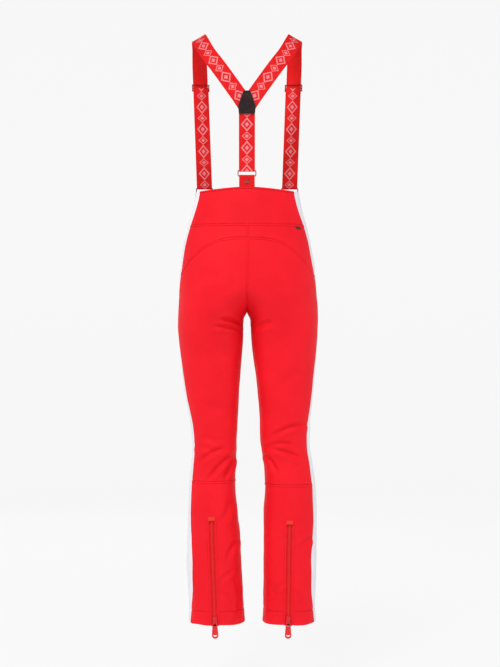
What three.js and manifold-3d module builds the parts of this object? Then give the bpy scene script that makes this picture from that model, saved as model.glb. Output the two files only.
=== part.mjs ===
// Ski pants with clip-on Y-back suspenders, as an assembly of separate sewn and metal pieces.
// Millimetres. +Z is up, the front faces -Y, and +X is the wearer's left.
// The origin is the middle of the waist opening, level with the top edge at the centre back.
import * as THREE from "three";
import { mergeVertices } from "three/addons/utils/BufferGeometryUtils.js";
import Module from "manifold-3d";

const wasm = await Module();
wasm.setup();

// ---------- driving dimensions ----------
const GAP = 0.3; // between pieces that are sewn or laid against each other
const STRIPE_GAP = 1.0; // beside the side stripes, whose edges curve
const CLOTH = 2.0; // softshell with its bonded lining
const FACING = 1.2; // the thinner cloth inside the waist and hems
const FACING_ROOM = 2; // the air between a facing and the cloth outside it
const FACING_SPAN = { down: 9, up: 12 }; // the waist facing's edges, from the waist edge and seam
const BACK_TAB_ROOM = { half: 23, low: -48 }; // cut out of the waist facing for the back tab
const WAIST_SEAM = -94; // lower edge of the waistband
const CROTCH = -308;
const HIP_TOP = -170; // above this the section is one symmetric loop
const CROTCH_SPREAD = 0.26; // how quickly the thighs part below the crotch
const KNEE_SEAM = { left: -738, right: -747 };
const HEM = -1091;
const HEM_DEPTH = 30;
const BACK_PEAK = 4.5; // the waist's top edge at the centre back
const BACK_RISE = 10; // how much higher the waist is cut at the back than at the sides
const YOKE_CENTRE = -128; // the back yoke's lower seam at the centre back
const YOKE_DROP = 76; // how much lower that seam is where it meets the side stripe
const STRIPE_FRONT = 28; // from the side line to the stripe's front edge
const OVERLAP = 18; // how far the right waistband end laps past the centre front

// The outline of each leg, as [height, distance from the middle plane].
const OUTER = {
  left: [
    [0, 131], [-50, 141], [-98, 153], [-150, 164], [-200, 170], [-260, 173], [-350, 176],
    [-415, 171], [-475, 164], [-540, 153], [-600, 143], [-655, 139], [-700, 142], [-750, 148],
    [-850, 151], [-950, 153], [-1030, 149], [-1110, 147],
  ],
  right: [
    [0, 131], [-50, 141], [-98, 154], [-150, 165], [-200, 173], [-260, 178], [-320, 181],
    [-415, 177], [-475, 172], [-540, 166], [-600, 161], [-640, 160], [-700, 168], [-750, 175],
    [-850, 177], [-950, 177], [-1030, 174], [-1110, 174],
  ],
};
const INNER = {
  left: [
    [-308, 0], [-328, 9], [-384, 10.5], [-475, 17.5], [-567, 23], [-660, 27], [-740, 30],
    [-800, 26], [-870, 18], [-950, 13.5], [-1030, 10], [-1110, 5],
  ],
  right: [
    [-308, 0], [-328, 9.5], [-384, 12.5], [-475, 24], [-567, 32], [-640, 36], [-700, 44],
    [-750, 46], [-810, 43], [-900, 42], [-1110, 41],
  ],
};
// How far the section reaches forwards and backwards of the side line.
const FRONT = [
  [0, 84], [-94, 98], [-140, 100.5], [-190, 103.2], [-240, 106], [-308, 100], [-380, 90],
  [-480, 80], [-600, 68], [-660, 64], [-740, 62], [-820, 66], [-1110, 74],
];
const BACK = [
  [0, 88], [-94, 106], [-190, 125], [-240, 127], [-290, 117], [-340, 102], [-420, 88],
  [-520, 74], [-620, 64], [-680, 66], [-750, 73], [-800, 75], [-900, 77.3], [-1000, 79.6],
  [-1110, 82],
];
// From the side line back to the stripe's rear edge.
const STRIPE_BACK = [
  [0, 33], [-27, 35], [-120, 31.5], [-200, 34], [-330, 24], [-450, 32], [-560, 33.5],
  [-625, 35], [-690, 38], [-740, 46], [-810, 46], [-870, 50], [-940, 57], [-1000, 57],
  [-1046, 51.5], [-1110, 41],
];
// How square the section is: 2 is an ellipse, and more is squarer.
const FRONT_SQUARE = [[0, 6], [-60, 3.6], [-110, 2.8], [-308, 2.8], [-420, 2.2], [-1110, 2.3]];
const BACK_SQUARE = [[0, 2.4], [-308, 2.4], [-420, 2.2], [-800, 2.3], [-1110, 2.6]];

// Zips: across is x, up is y and outward is z in a zip's own frame.
const ZIP_SLOT = 8; // half the opening that the panels leave
const TAPE = { half: 13, thick: 0.8, inset: 1.5, over: 6 }; // it runs over the zip's upper end
const GUARD = { half: 29, inset: 2.9, over: 14, under: 2.5 }; // the layer behind a hem zip
const HEM_OPEN = 34; // half the gap in the hem facing at the zip
const TOOTH = { half: 3.3, neck: 1.8, pitch: 8, low: -2, high: -0.4 };
const CHAIN_END = 3; // from the last tooth to the end of the zip
const SLIDER = {
  half: 5.5, low: 4, length: 18, plate: 1.5, nose: 4, tail: 2.5, round: 5, flange: 1.2,
  arch: 2.6, archHeight: 5.8, archSpan: 4.4, archEnd: 2, archTop: 1.1,
};
const PIVOT = { y: 15, z: 3.3, bar: 1.7 }; // the pull's top bar, from the zip's lower end
const PULL_TOP = { half: 3.9, loop: 2.1 }; // half the width of a pull and its loop at the top bar
const HEM_PULL = { length: 48, half: 8.2 };
const FLY_PULL = { length: 30, half: 5.2 };
const HEM_ZIP = {
  left: { topX: 89, lowX: 80, top: -828 },
  right: { topX: 107, lowX: 103, top: -837 },
};
const ZIP_TAB = { half: 8.3, height: 10, thick: 1.6 };
const FLY_TOP = -101;
const FLY_LOW = -232;
const FLY_GUARD = { half: 20, inset: 2.8 };

// Suspenders: webbing, wire rings and sliding adjusters.
const WEB = { width: 40, thick: 1.4 };
const WIRE = 1.25; // the wire's radius
const LOOP = 2.45; // from a ring bar's axis to the middle of the webbing round it
const RING = { width: 44.6, height: 14, corner: 3 };
const ADJUSTER = { height: 18, bar: 2.2, deep: 1.3, rail: 2, room: 0.5 };
const STRAP_X = 108.5; // where the front tabs sit
const STRAP_FOOT = -1; // the height of the front tab's folded top
const TAB_DROP = 34; // how far down the tab's lean is measured
const ADJUSTER_X = 120.5;
const TAB = { outer: 36, inner: 17, stand: 5.4 };
const SNAP = { radius: 6.5, dome: 4.2, down: 24, rim: 0.8 };
const STUD = { radius: 5.5, base: 1.1, post: 2.4, height: 3.5 };
const WAIST_SNAPS = { x: 4, upper: -24, lower: -70 };
const SIDE_TAG = { near: 120, far: 135, top: -94.8, low: -100.8, thick: 1 };
const BACK_RING_Z = 31; // the lower bar of the back ring
const YOKE = { top: 243, wide: 205, low: 185, topHalf: 8.5, wideHalf: 22, thick: 1.6 };
const BACK_Y = 92; // the webbing's plane at the yoke
const BACK_TAB_Y = 83.8; // the plane of the back ring and its tab
const BACK_TAB = { front: 1.3, back: 0.9, inner: 60, outer: 70, snap: 13.5 };
const LAYER = WEB.thick + 0.35; // spacing of stacked webbing and leather
const ADJUSTER_UP = 262; // from the front ring's upper bar to the adjuster

const COLOUR = {
  shell: 0xf21626,
  stripe: 0xf2f2f6,
  webbing: 0xdc2226,
  tape: 0xc81c20,
  metal: 0xc8141c,
  black: 0x1c1718,
  leather: 0x33262a,
  tab: 0xff4a3c,
};
const FINISH = {
  shell: [0.62, 0],
  stripe: [0.6, 0],
  webbing: [0.8, 0],
  tape: [0.75, 0],
  metal: [0.25, 0.6],
  black: [0.85, 0],
  leather: [0.55, 0],
  tab: [0.4, 0],
};

// ---------- small tools ----------
const vec = (x, y, z) => new THREE.Vector3(x, y, z);
const model = new THREE.Group();

// A smooth curve through [place, value] pairs that never overshoots them.
function profile(pairs) {
  const points = [...pairs].sort((a, b) => a[0] - b[0]);
  const secant = points.slice(1).map((p, i) => (p[1] - points[i][1]) / (p[0] - points[i][0]));
  const slope = points.map((_, i) => {
    const before = secant[Math.max(i - 1, 0)];
    const after = secant[Math.min(i, secant.length - 1)];
    return before * after <= 0 ? 0 : (2 * before * after) / (before + after);
  });
  return (z) => {
    const last = points.length - 1;
    if (z <= points[0][0]) return points[0][1];
    if (z >= points[last][0]) return points[last][1];
    const i = points.findIndex((p) => p[0] > z) - 1;
    const wide = points[i + 1][0] - points[i][0];
    const t = (z - points[i][0]) / wide;
    return (
      points[i][1] * (2 * t ** 3 - 3 * t ** 2 + 1) +
      points[i + 1][1] * (3 * t ** 2 - 2 * t ** 3) +
      wide * (slope[i] * (t ** 3 - 2 * t ** 2 + t) + slope[i + 1] * (t ** 3 - t ** 2))
    );
  };
}

function add(name, geometry, kind, matrix) {
  const [roughness, metalness] = FINISH[kind];
  const material = new THREE.MeshStandardMaterial({ color: COLOUR[kind], roughness, metalness });
  const mesh = new THREE.Mesh(geometry, material);
  mesh.name = name;
  if (matrix) mesh.applyMatrix4(matrix);
  model.add(mesh);
  return mesh;
}

function toSolid(geometry, matrix) {
  const bare = geometry.clone();
  bare.deleteAttribute("normal");
  bare.deleteAttribute("uv");
  if (matrix) bare.applyMatrix4(matrix);
  const merged = mergeVertices(bare, 1e-3);
  const vertProperties = new Float32Array(merged.attributes.position.array);
  const triVerts = new Uint32Array(merged.index.array);
  return new wasm.Manifold(new wasm.Mesh({ numProp: 3, vertProperties, triVerts }));
}

function toGeometry(solid) {
  const mesh = solid.getMesh();
  const geometry = new THREE.BufferGeometry();
  geometry.setAttribute("position", new THREE.BufferAttribute(mesh.vertProperties, 3));
  geometry.setIndex(new THREE.BufferAttribute(mesh.triVerts, 1));
  return geometry;
}

// A box given by its lowest and highest corners.
function block(low, high) {
  const size = high.map((h, i) => h - low[i]);
  const middle = high.map((h, i) => (h + low[i]) / 2);
  return new THREE.BoxGeometry(...size).translate(...middle);
}

function joined(geometries) {
  return toGeometry(geometries.map((g) => toSolid(g)).reduce((a, b) => a.add(b)));
}

// A closed shell between two offsets of a surface. point(u, row, offset) gives its corners.
function shell(point, columns, rows, outside, inside) {
  const positions = [];
  const wide = columns + 1;
  for (const offset of [outside, inside])
    for (let r = 0; r < rows; r++)
      for (let c = 0; c <= columns; c++) positions.push(...point(c / columns, r, offset).toArray());
  const at = (layer, r, c) => layer * rows * wide + r * wide + c;
  const index = [];
  const quad = (a, b, c, d) => index.push(a, b, c, a, c, d);
  for (let r = 0; r < rows - 1; r++)
    for (let c = 0; c < columns; c++) {
      quad(at(0, r, c), at(0, r + 1, c), at(0, r + 1, c + 1), at(0, r, c + 1));
      quad(at(1, r, c), at(1, r, c + 1), at(1, r + 1, c + 1), at(1, r + 1, c));
    }
  for (let r = 0; r < rows - 1; r++) {
    quad(at(0, r, 0), at(1, r, 0), at(1, r + 1, 0), at(0, r + 1, 0));
    quad(at(0, r, columns), at(0, r + 1, columns), at(1, r + 1, columns), at(1, r, columns));
  }
  for (let c = 0; c < columns; c++) {
    quad(at(0, 0, c), at(0, 0, c + 1), at(1, 0, c + 1), at(1, 0, c));
    const r = rows - 1;
    quad(at(0, r, c), at(1, r, c), at(1, r, c + 1), at(0, r, c + 1));
  }
  const geometry = new THREE.BufferGeometry();
  geometry.setAttribute("position", new THREE.Float32BufferAttribute(positions, 3));
  geometry.setIndex(index);
  return facingOut(geometry);
}

// The same closed mesh with its faces turned to point outwards.
function facingOut(geometry) {
  if (toSolid(geometry).volume() > 0) return geometry;
  const index = geometry.index.array;
  for (let i = 0; i < index.length; i += 3) [index[i + 1], index[i + 2]] = [index[i + 2], index[i + 1]];
  return geometry;
}

// ---------- the garment's surface ----------
const front = profile(FRONT);
const back = profile(BACK);
const frontSquare = profile(FRONT_SQUARE);
const backSquare = profile(BACK_SQUARE);
const sign = { left: 1, right: -1 };
const outer = { left: profile(OUTER.left), right: profile(OUTER.right) };
const innerLeg = { left: profile(INNER.left), right: profile(INNER.right) };

// The distance of a section's inner side from the middle plane. It is negative above the crotch,
// where the loop is cut off at the middle plane, and reaches the far side at the top of the hips.
function inner(side, z) {
  if (z <= CROTCH) return innerLeg[side](z);
  const t = Math.min(1, (z - CROTCH) / (HIP_TOP - CROTCH));
  const share = CROTCH_SPREAD * t * (1 - t) ** 2 + t * t * (3 - 2 * t);
  return -outer[side](z) * share;
}

// A section's centre, half-width, reach and squareness on the front or back half.
function section(side, z, isFront) {
  const far = outer[side](z);
  const near = inner(side, z);
  return {
    centre: (far + near) / 2,
    half: (far - near) / 2,
    reach: isFront ? front(z) : back(z),
    square: isFront ? frontSquare(z) : backSquare(z),
  };
}

// A point of the outer surface. The angle is 0 at the inseam, 90 degrees at the front, 180 at the
// side and 270 at the back.
function onSurface(side, angle, z) {
  const s = section(side, z, Math.sin(angle) > 0);
  const c = Math.abs(Math.cos(angle));
  const n = Math.abs(Math.sin(angle));
  const radius = ((c / s.half) ** s.square + (n / s.reach) ** s.square) ** (-1 / s.square);
  const x = s.centre - radius * Math.cos(angle);
  return vec(sign[side] * x, -radius * Math.sin(angle), z);
}

// The same, moved straight out and level. Below the hips the two halves stay on their own sides of
// the middle plane.
function surface(side, angle, z, offset) {
  const place = onSurface(side, angle, z);
  const round = onSurface(side, angle + 0.01, z).sub(onSurface(side, angle - 0.01, z));
  const normal = vec(round.y, -round.x, 0).normalize();
  place.addScaledVector(normal, offset * sign[side]);
  if (z < HIP_TOP) place.x = sign[side] * Math.max(sign[side] * place.x, 0.5 * GAP);
  return place;
}

// The angle where the front or back half of a section crosses a plane at this distance from the
// middle, or the inseam's angle where the section doesn't reach it.
function angleAt(side, z, x, isFront) {
  const s = section(side, z, isFront);
  const across = s.centre - x;
  const along = Math.min(1, Math.abs(across) / s.half);
  const out = s.reach * (1 - along ** s.square) ** (1 / s.square);
  const angle = inner(side, z) >= x ? (0.5 * GAP) / s.half : Math.atan2(out, across);
  return isFront ? angle : 2 * Math.PI - angle;
}

const middleAngle = (side, z, isFront) => angleAt(side, z, 0.5 * GAP, isFront);
const stripeFront = (z, shift = 0) => Math.PI - Math.asin((STRIPE_FRONT + shift) / front(z));
const stripeReach = profile(STRIPE_BACK);
const stripeBack = (z, shift = 0) => Math.PI + Math.asin((stripeReach(z) + shift) / back(z));

// The top edge dips from the centre back towards the sides.
function topEdge(angle) {
  const behind = Math.max(0, -Math.sin(angle));
  return BACK_PEAK - BACK_RISE * (1 - behind ** 2);
}

// The yoke's arched seam, by distance from the middle plane.
function yokeSeam(x) {
  return YOKE_CENTRE - YOKE_DROP * (Math.abs(x) / 160) ** 3;
}

// A panel from angle low(z) to high(z), with rows at the heights that levels(angle) gives.
function panel(side, low, high, levels, columns, outside = 0, thick = CLOTH) {
  const count = levels(Math.PI).length;
  const point = (u, row, offset) => {
    let z = levels(Math.PI)[row];
    for (let pass = 0; pass < 6; pass++) {
      const angle = low(z) + u * (high(z) - low(z));
      z = levels(angle, onSurface(side, angle, z).x)[row];
    }
    const angle = low(z) + u * (high(z) - low(z));
    return surface(side, angle, z, offset);
  };
  return shell(point, columns, count, outside, outside - thick);
}

// ---------- trousers ----------
const RISE_LEVELS = [-122, -150, -178, -208, -240, -265, -285, -299, -308];
const SEAT_LEVELS = RISE_LEVELS.slice(4);
const THIGH_LEVELS = [-325, -360, -420, -500, -580, -640, -690];
const LOWER_LEVELS = [-780, -830, -900, -980, -1050];

const even = (from, to, count) =>
  Array.from({ length: count + 1 }, (_, i) => from + ((to - from) * i) / count);

function makeWaistband() {
  const rows = (angle) => even(topEdge(angle), WAIST_SEAM + 0.5 * GAP, 3);
  const rear = (side) =>
    panel(side, (z) => stripeBack(z, STRIPE_GAP), (z) => angleAt(side, z, 0, false), rows, 7);
  add("waistband_back", joined([rear("left"), rear("right")]), "shell");
  const frontPiece = (side, end) =>
    panel(side, (z) => angleAt(side, z, end, true), (z) => stripeFront(z, STRIPE_GAP), rows, 8);
  add("waistband_front_left", frontPiece("left", OVERLAP + 0.5 * GAP), "shell");
  add("waistband_front_right", frontPiece("right", 0.5 * GAP - OVERLAP), "shell");

  const depth = -CLOTH - FACING_ROOM;
  const inside = () => even(-FACING_SPAN.down, WAIST_SEAM + FACING_SPAN.up, 2);
  const facing = (side) =>
    panel(side, (z) => angleAt(side, z, 0.5 * GAP, true), (z) => angleAt(side, z, 0, false),
      inside, 14, depth, FACING);
  const room = BACK_TAB_ROOM;
  const backTabRoom = block([-room.half, 70, room.low], [room.half, 110, 10]);
  const ring = toSolid(joined([facing("left"), facing("right")])).subtract(toSolid(backTabRoom));
  add("waistband_facing", toGeometry(ring), "black");
}

function makeTrunkPanels(side) {
  const cut = KNEE_SEAM[side] + 0.5 * GAP;
  const seam = (x) => yokeSeam(x);
  const rear = [(z) => stripeBack(z, STRIPE_GAP), (z) => middleAngle(side, z, false)];
  const yokeRows = (_, x = 0) => even(WAIST_SEAM - 0.5 * GAP, seam(x) + 0.5 * GAP, 4);
  add(`${side}_back_yoke`, panel(side, ...rear, yokeRows, 8), "shell");

  const seatRows = (_, x = 0) => [
    seam(x) - 0.5 * GAP,
    ...SEAT_LEVELS,
    ...THIGH_LEVELS,
    cut,
  ];
  add(`${side}_seat_panel`, panel(side, ...rear, seatRows, 8), "shell");

  const frontRows = () => [WAIST_SEAM - 0.5 * GAP, ...RISE_LEVELS, ...THIGH_LEVELS, cut];
  const fore = [(z) => middleAngle(side, z, true), (z) => stripeFront(z, STRIPE_GAP)];
  const slot = block([-ZIP_SLOT, -130, FLY_LOW], [ZIP_SLOT, -80, FLY_TOP + 20]);
  const cloth = toSolid(panel(side, ...fore, frontRows, 8)).subtract(toSolid(slot));
  add(`${side}_front_panel`, toGeometry(cloth), "shell");

  const stripeRows = () => [
    BACK_PEAK - BACK_RISE - 3,
    -50,
    -94,
    ...RISE_LEVELS,
    ...THIGH_LEVELS,
    KNEE_SEAM[side],
    ...LOWER_LEVELS,
    HEM,
  ];
  add(`${side}_side_stripe`, panel(side, stripeFront, stripeBack, stripeRows, 3), "stripe");
}

// The frame of a zip from its lower end to its upper end, with z pointing out of the cloth.
function zipFrame(low, high, outward) {
  const up = high.clone().sub(low).normalize();
  const across = up.clone().cross(outward).normalize();
  const out = across.clone().cross(up).normalize();
  return new THREE.Matrix4().makeBasis(across, up, out).setPosition(low);
}

function makeTeeth(length) {
  const outline = new THREE.Shape();
  const { half, neck, pitch } = TOOTH;
  const count = Math.floor(length / pitch);
  const step = pitch / 2;
  const edge = (i) => (i % 2 ? neck : half);
  outline.moveTo(half, 0);
  for (let i = 0; i < 2 * count; i++) {
    outline.lineTo(edge(i), (i + 0.15) * step);
    outline.lineTo(edge(i), (i + 0.85) * step);
  }
  for (let i = 2 * count - 1; i >= 0; i--) {
    outline.lineTo(-edge(i + 1), (i + 0.85) * step);
    outline.lineTo(-edge(i + 1), (i + 0.15) * step);
  }
  const depth = TOOTH.high - TOOTH.low;
  const options = { depth, bevelEnabled: false };
  return new THREE.ExtrudeGeometry(outline, options).translate(0, SLIDER.low + 1, TOOTH.low);
}

function makeSlider() {
  const { half, low, length, plate, nose, tail, round, flange } = SLIDER;
  const top = low + length;
  const outline = new THREE.Shape();
  outline.moveTo(-nose, low);
  outline.lineTo(nose, low);
  outline.quadraticCurveTo(half, low, half, low + round);
  outline.lineTo(half, top - round);
  outline.quadraticCurveTo(half, top, tail, top);
  outline.lineTo(-tail, top);
  outline.quadraticCurveTo(-half, top, -half, top - round);
  outline.lineTo(-half, low + round);
  outline.quadraticCurveTo(-half, low, -nose, low);
  const options = { depth: plate, bevelEnabled: false, curveSegments: 3 };
  const body = new THREE.ExtrudeGeometry(outline, options);
  const flanges = [
    block([half - flange, low + nose, -1], [half, top - round, plate / 3]),
    block([-half, low + nose, -1], [flange - half, top - round, plate / 3]),
  ];
  return joined([body, ...flanges, ...sliderArch()]);
}

// The arch that holds the pull's top bar, as two posts and a bridge.
function sliderArch() {
  const { arch, archHeight, archSpan, archEnd, archTop } = SLIDER;
  const [low, high] = [PIVOT.y - archSpan, PIVOT.y + archSpan];
  return [
    block([-arch / 2, low, 1], [arch / 2, low + archEnd, archHeight]),
    block([-arch / 2, high - archEnd, 1], [arch / 2, high, archHeight]),
    block([-arch / 2, low, archHeight - archTop], [arch / 2, high, archHeight]),
  ];
}

// A pull with a long loop that passes under the slider's arch and a slot near its round end. It
// hangs down from the middle of its top bar.
function makePull({ length, half }) {
  const bar = PIVOT.bar;
  const neck = 0.38 * length;
  const waist = 0.8 * half;
  const turn = 0.72 * half;
  const outline = new THREE.Shape();
  outline.moveTo(-PULL_TOP.half, bar / 2);
  outline.lineTo(PULL_TOP.half, bar / 2);
  outline.quadraticCurveTo(turn, -0.5 * neck, waist, -neck);
  outline.lineTo(half, half - length);
  outline.absarc(0, half - length, half, 0, -Math.PI, true);
  outline.lineTo(-waist, -neck);
  outline.quadraticCurveTo(-turn, -0.5 * neck, -PULL_TOP.half, bar / 2);
  outline.holes.push(pullLoop(neck, half), pullSlot(half - length, half));
  const options = { depth: bar, bevelEnabled: false, curveSegments: 6 };
  return new THREE.ExtrudeGeometry(outline, options).translate(0, 0, -bar / 2);
}

// The hole below a pull's top bar.
function pullLoop(neck, half) {
  const wide = 0.42 * half + 0.4;
  const loop = new THREE.Path();
  loop.moveTo(-PULL_TOP.loop, -PIVOT.bar / 2);
  loop.lineTo(-wide, 1.5 - neck);
  loop.lineTo(wide, 1.5 - neck);
  loop.lineTo(PULL_TOP.loop, -PIVOT.bar / 2);
  return loop;
}

// The half-moon hole near a pull's round end.
function pullSlot(centre, half) {
  const wide = 0.66 * half;
  const chord = centre + 0.08 * half;
  const slot = new THREE.Path();
  slot.moveTo(-wide, chord);
  slot.quadraticCurveTo(0, chord - 0.95 * half, wide, chord);
  return slot;
}

function addZipMetal(prefix, frame, length, pullSize) {
  const hang = new THREE.Matrix4().makeTranslation(0, PIVOT.y, PIVOT.z);
  add(`${prefix}_teeth`, makeTeeth(length - SLIDER.low - CHAIN_END), "tape", frame);
  add(`${prefix}_slider`, makeSlider(), "metal", frame);
  add(`${prefix}_pull`, makePull(pullSize), "metal", frame.clone().multiply(hang));
}

function makeLowerLeg(side) {
  const { topX, lowX, top } = HEM_ZIP[side];
  const behind = (x, z) => onSurface(side, angleAt(side, z, x, false), z);
  const low = behind(lowX, HEM);
  const high = behind(topX, top);
  const frame = zipFrame(low, high, vec(0, 1, 0));
  const length = high.distanceTo(low);

  const rows = () => [KNEE_SEAM[side] - 0.5 * GAP, ...LOWER_LEVELS, HEM];
  const rear = [(z) => stripeBack(z, STRIPE_GAP), (z) => middleAngle(side, z, false)];
  const slot = block([-ZIP_SLOT, -20, -8], [ZIP_SLOT, length, 8]);
  const calf = toSolid(panel(side, ...rear, rows, 9)).subtract(toSolid(slot, frame));
  add(`${side}_calf_panel`, toGeometry(calf), "shell");

  const fore = [(z) => middleAngle(side, z, true), (z) => stripeFront(z, STRIPE_GAP)];
  add(`${side}_shin_panel`, panel(side, ...fore, rows, 8), "shell");

  makeHemLayers(side);
  addZipMetal(`${side}_hem_zip`, frame, length, HEM_PULL);
  const { half, height, thick } = ZIP_TAB;
  const foot = length - CHAIN_END;
  const tab = block([-half, foot, GAP], [half, foot + height, GAP + thick]);
  add(`${side}_hem_zip_tab`, tab, "tab", frame);
}

// What lies behind the calf at the hem and the zip: the facing, the zip's tape and its guard.
function makeHemLayers(side) {
  const { topX, lowX, top } = HEM_ZIP[side];
  const zipX = (z) => lowX + ((topX - lowX) * (z - HEM)) / (top - HEM);
  const beside = (half, z) => angleAt(side, z, zipX(z) + half, false);
  const strip = (half, rows, columns, inset, thick) =>
    panel(side, (z) => beside(half, z), (z) => beside(-half, z), rows, columns,
      -CLOTH - inset, thick);
  const round = (z) => beside(-HEM_OPEN, z) - 2 * Math.PI;
  const hemRows = () => [HEM + HEM_DEPTH, HEM + 0.5];
  const hem = panel(side, round, (z) => beside(HEM_OPEN, z), hemRows, 22,
    -CLOTH - FACING_ROOM, FACING);
  add(`${side}_hem_facing`, hem, "black");
  const tapeRows = () => [top + TAPE.over, -900, -980, HEM + 2];
  add(`${side}_hem_zip_tape`, strip(TAPE.half, tapeRows, 4, TAPE.inset, TAPE.thick), "tape");
  const guardRows = () => [top + GUARD.over, -900, -980, HEM - GUARD.under];
  add(`${side}_zip_guard`, strip(GUARD.half, guardRows, 6, GUARD.inset, FACING), "black");
}

function makeFly() {
  const low = vec(0, -front(FLY_LOW), FLY_LOW);
  const high = vec(0, -front(FLY_TOP), FLY_TOP);
  const frame = zipFrame(low, high, vec(0, -1, 0));
  const length = high.distanceTo(low);
  // A fly closes upwards, so this zip is turned end for end.
  const turned = zipFrame(high, low, vec(0, -1, 0));
  const depth = -CLOTH - GAP;
  const strip = (name, half, thick, inset, kind) => {
    const flat = block([-half, 0, depth - inset - thick], [half, length + 1, depth - inset]);
    add(name, flat, kind, frame);
  };
  strip("fly_zip_tape", TAPE.half, TAPE.thick, 1.2, "tape");
  strip("fly_guard", FLY_GUARD.half, FACING, FLY_GUARD.inset, "shell");
  addFlyMetal(turned, length);
}

function addFlyMetal(turned, length) {
  const flip = new THREE.Matrix4().makeRotationZ(Math.PI);
  const hang = new THREE.Matrix4().makeTranslation(0, PIVOT.y, PIVOT.z);
  add("fly_zip_teeth", makeTeeth(length - SLIDER.low - CHAIN_END), "tape", turned);
  add("fly_zip_slider", makeSlider(), "metal", turned);
  add("fly_zip_pull", makePull(FLY_PULL), "metal", turned.clone().multiply(hang).multiply(flip));
}

// A domed press-stud cap, standing on the xy plane and pointing along +z.
function dome(radius, height) {
  const profilePoints = [new THREE.Vector2(0, 0), new THREE.Vector2(radius, 0)];
  const steps = 4;
  for (let i = 0; i <= steps; i++) {
    const angle = (i / steps) * (Math.PI / 2);
    const out = i === steps ? 0 : radius * Math.cos(angle);
    const up = SNAP.rim + (height - SNAP.rim) * Math.sin(angle);
    profilePoints.push(new THREE.Vector2(out, up));
  }
  return new THREE.LatheGeometry(profilePoints, 14).rotateX(Math.PI / 2);
}

// A frame whose z points out of the cloth at a place on the surface.
function clothFrame(side, angle, z, offset) {
  const place = surface(side, angle, z, offset);
  const level = surface(side, angle, z, offset + 10).sub(place);
  const up = onSurface(side, angle, z + 5).sub(onSurface(side, angle, z - 5)).normalize();
  const across = up.clone().cross(level).normalize();
  const out = across.clone().cross(up);
  return new THREE.Matrix4().makeBasis(across, up, out).setPosition(place);
}

function makeTrims() {
  const { x, upper, lower } = WAIST_SNAPS;
  for (const [name, z] of [["upper_waist_snap", upper], ["lower_waist_snap", lower]]) {
    const frame = clothFrame("left", angleAt("left", z, x, true), z, 0.8);
    add(name, dome(SNAP.radius, SNAP.dome), "metal", frame);
  }
  const { near, far, top, low, thick } = SIDE_TAG;
  const tagAt = (z, across) => angleAt("right", z, across, false);
  const tag = panel("right", (z) => tagAt(z, far), (z) => tagAt(z, near), () => [top, low], 2,
    GAP + thick, thick);
  add("side_tag", tag, "black");
}

// ---------- suspenders ----------
// A flat strip of webbing along a list of { at, wide } stations, where wide is the strip's
// direction across. It keeps its width square to its run.
function ribbon(stations, width, thick, steps) {
  const path = new THREE.CatmullRomCurve3(stations.map((s) => s.at), false, "centripetal");
  const last = stations.length - 1;
  const wideAt = (t) => {
    const i = Math.min(last - 1, Math.floor(t * last));
    return stations[i].wide.clone().lerp(stations[i + 1].wide, t * last - i);
  };
  const point = (u, row, offset) => {
    const t = row / steps;
    const run = path.getTangent(t);
    const wide = wideAt(t).addScaledVector(run, -wideAt(t).dot(run)).normalize();
    const out = run.clone().cross(wide);
    return path.getPoint(t).addScaledVector(wide, (u - 0.5) * width).addScaledVector(out, offset);
  };
  return shell(point, 1, steps + 1, thick / 2, -thick / 2);
}

// A rounded rectangle of wire in the xy plane, hanging down from the middle of its upper bar.
function wireRing() {
  const points = ringPath();
  const sides = 8;
  const count = points.length;
  const positions = [];
  points.forEach((p, i) => {
    const before = points[(i + count - 1) % count];
    const after = points[(i + 1) % count];
    const run = after.clone().sub(before).normalize();
    const out = vec(run.y, -run.x, 0);
    for (let s = 0; s < sides; s++) {
      const a = (2 * Math.PI * s) / sides;
      const rim = p.clone().addScaledVector(out, WIRE * Math.cos(a));
      positions.push(rim.x, rim.y, WIRE * Math.sin(a));
    }
  });
  const index = [];
  for (let i = 0; i < count; i++)
    for (let s = 0; s < sides; s++) {
      const a = i * sides + s;
      const b = i * sides + ((s + 1) % sides);
      const c = ((i + 1) % count) * sides + s;
      const d = ((i + 1) % count) * sides + ((s + 1) % sides);
      index.push(a, c, b, b, c, d);
    }
  const geometry = new THREE.BufferGeometry();
  geometry.setAttribute("position", new THREE.Float32BufferAttribute(positions, 3));
  geometry.setIndex(index);
  return facingOut(geometry);
}

// The middle line of a ring's wire: each corner as [x, y, the way it comes in, the way it leaves].
function ringPath() {
  const { width, height, corner } = RING;
  const corners = [
    [width / 2, 0, -1, 0, 0, -1],
    [width / 2, -height, 0, 1, -1, 0],
    [-width / 2, -height, 1, 0, 0, 1],
    [-width / 2, 0, 0, -1, 1, 0],
  ];
  const ends = corners.map(([x, y, ax, ay, bx, by]) => [
    vec(x + ax * corner, y + ay * corner, 0),
    vec(x, y, 0),
    vec(x + bx * corner, y + by * corner, 0),
  ]);
  return ends.flatMap(([from, at, to], i) => [
    ...new THREE.QuadraticBezierCurve3(from, at, to).getPoints(3),
    to.clone().lerp(ends[(i + 1) % 4][0], 0.5),
  ]);
}

// An adjuster round the running strap: two bars behind it, one in front, and side rails. x is
// across the strap, y along it and z out of it, from the running strap's middle.
function adjuster() {
  const { height, bar, deep, rail, room } = ADJUSTER;
  const clear = WEB.thick / 2 + room;
  const edge = WEB.width / 2 + 2 * room;
  const top = height / 2;
  const behind = [-clear - deep, -clear];
  const ahead = [clear, clear + deep];
  return joined([
    block([-edge, top - bar, behind[0]], [edge, top, behind[1]]),
    block([-edge, -top, behind[0]], [edge, bar - top, behind[1]]),
    block([-edge, -bar / 2, ahead[0]], [edge, bar / 2, ahead[1]]),
    block([-edge - rail, -top, behind[0]], [-edge, top, ahead[1]]),
    block([edge, -top, behind[0]], [edge + rail, top, ahead[1]]),
  ]);
}

const leaning = (x, y, z) => vec(x, y, z).normalize();

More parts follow.
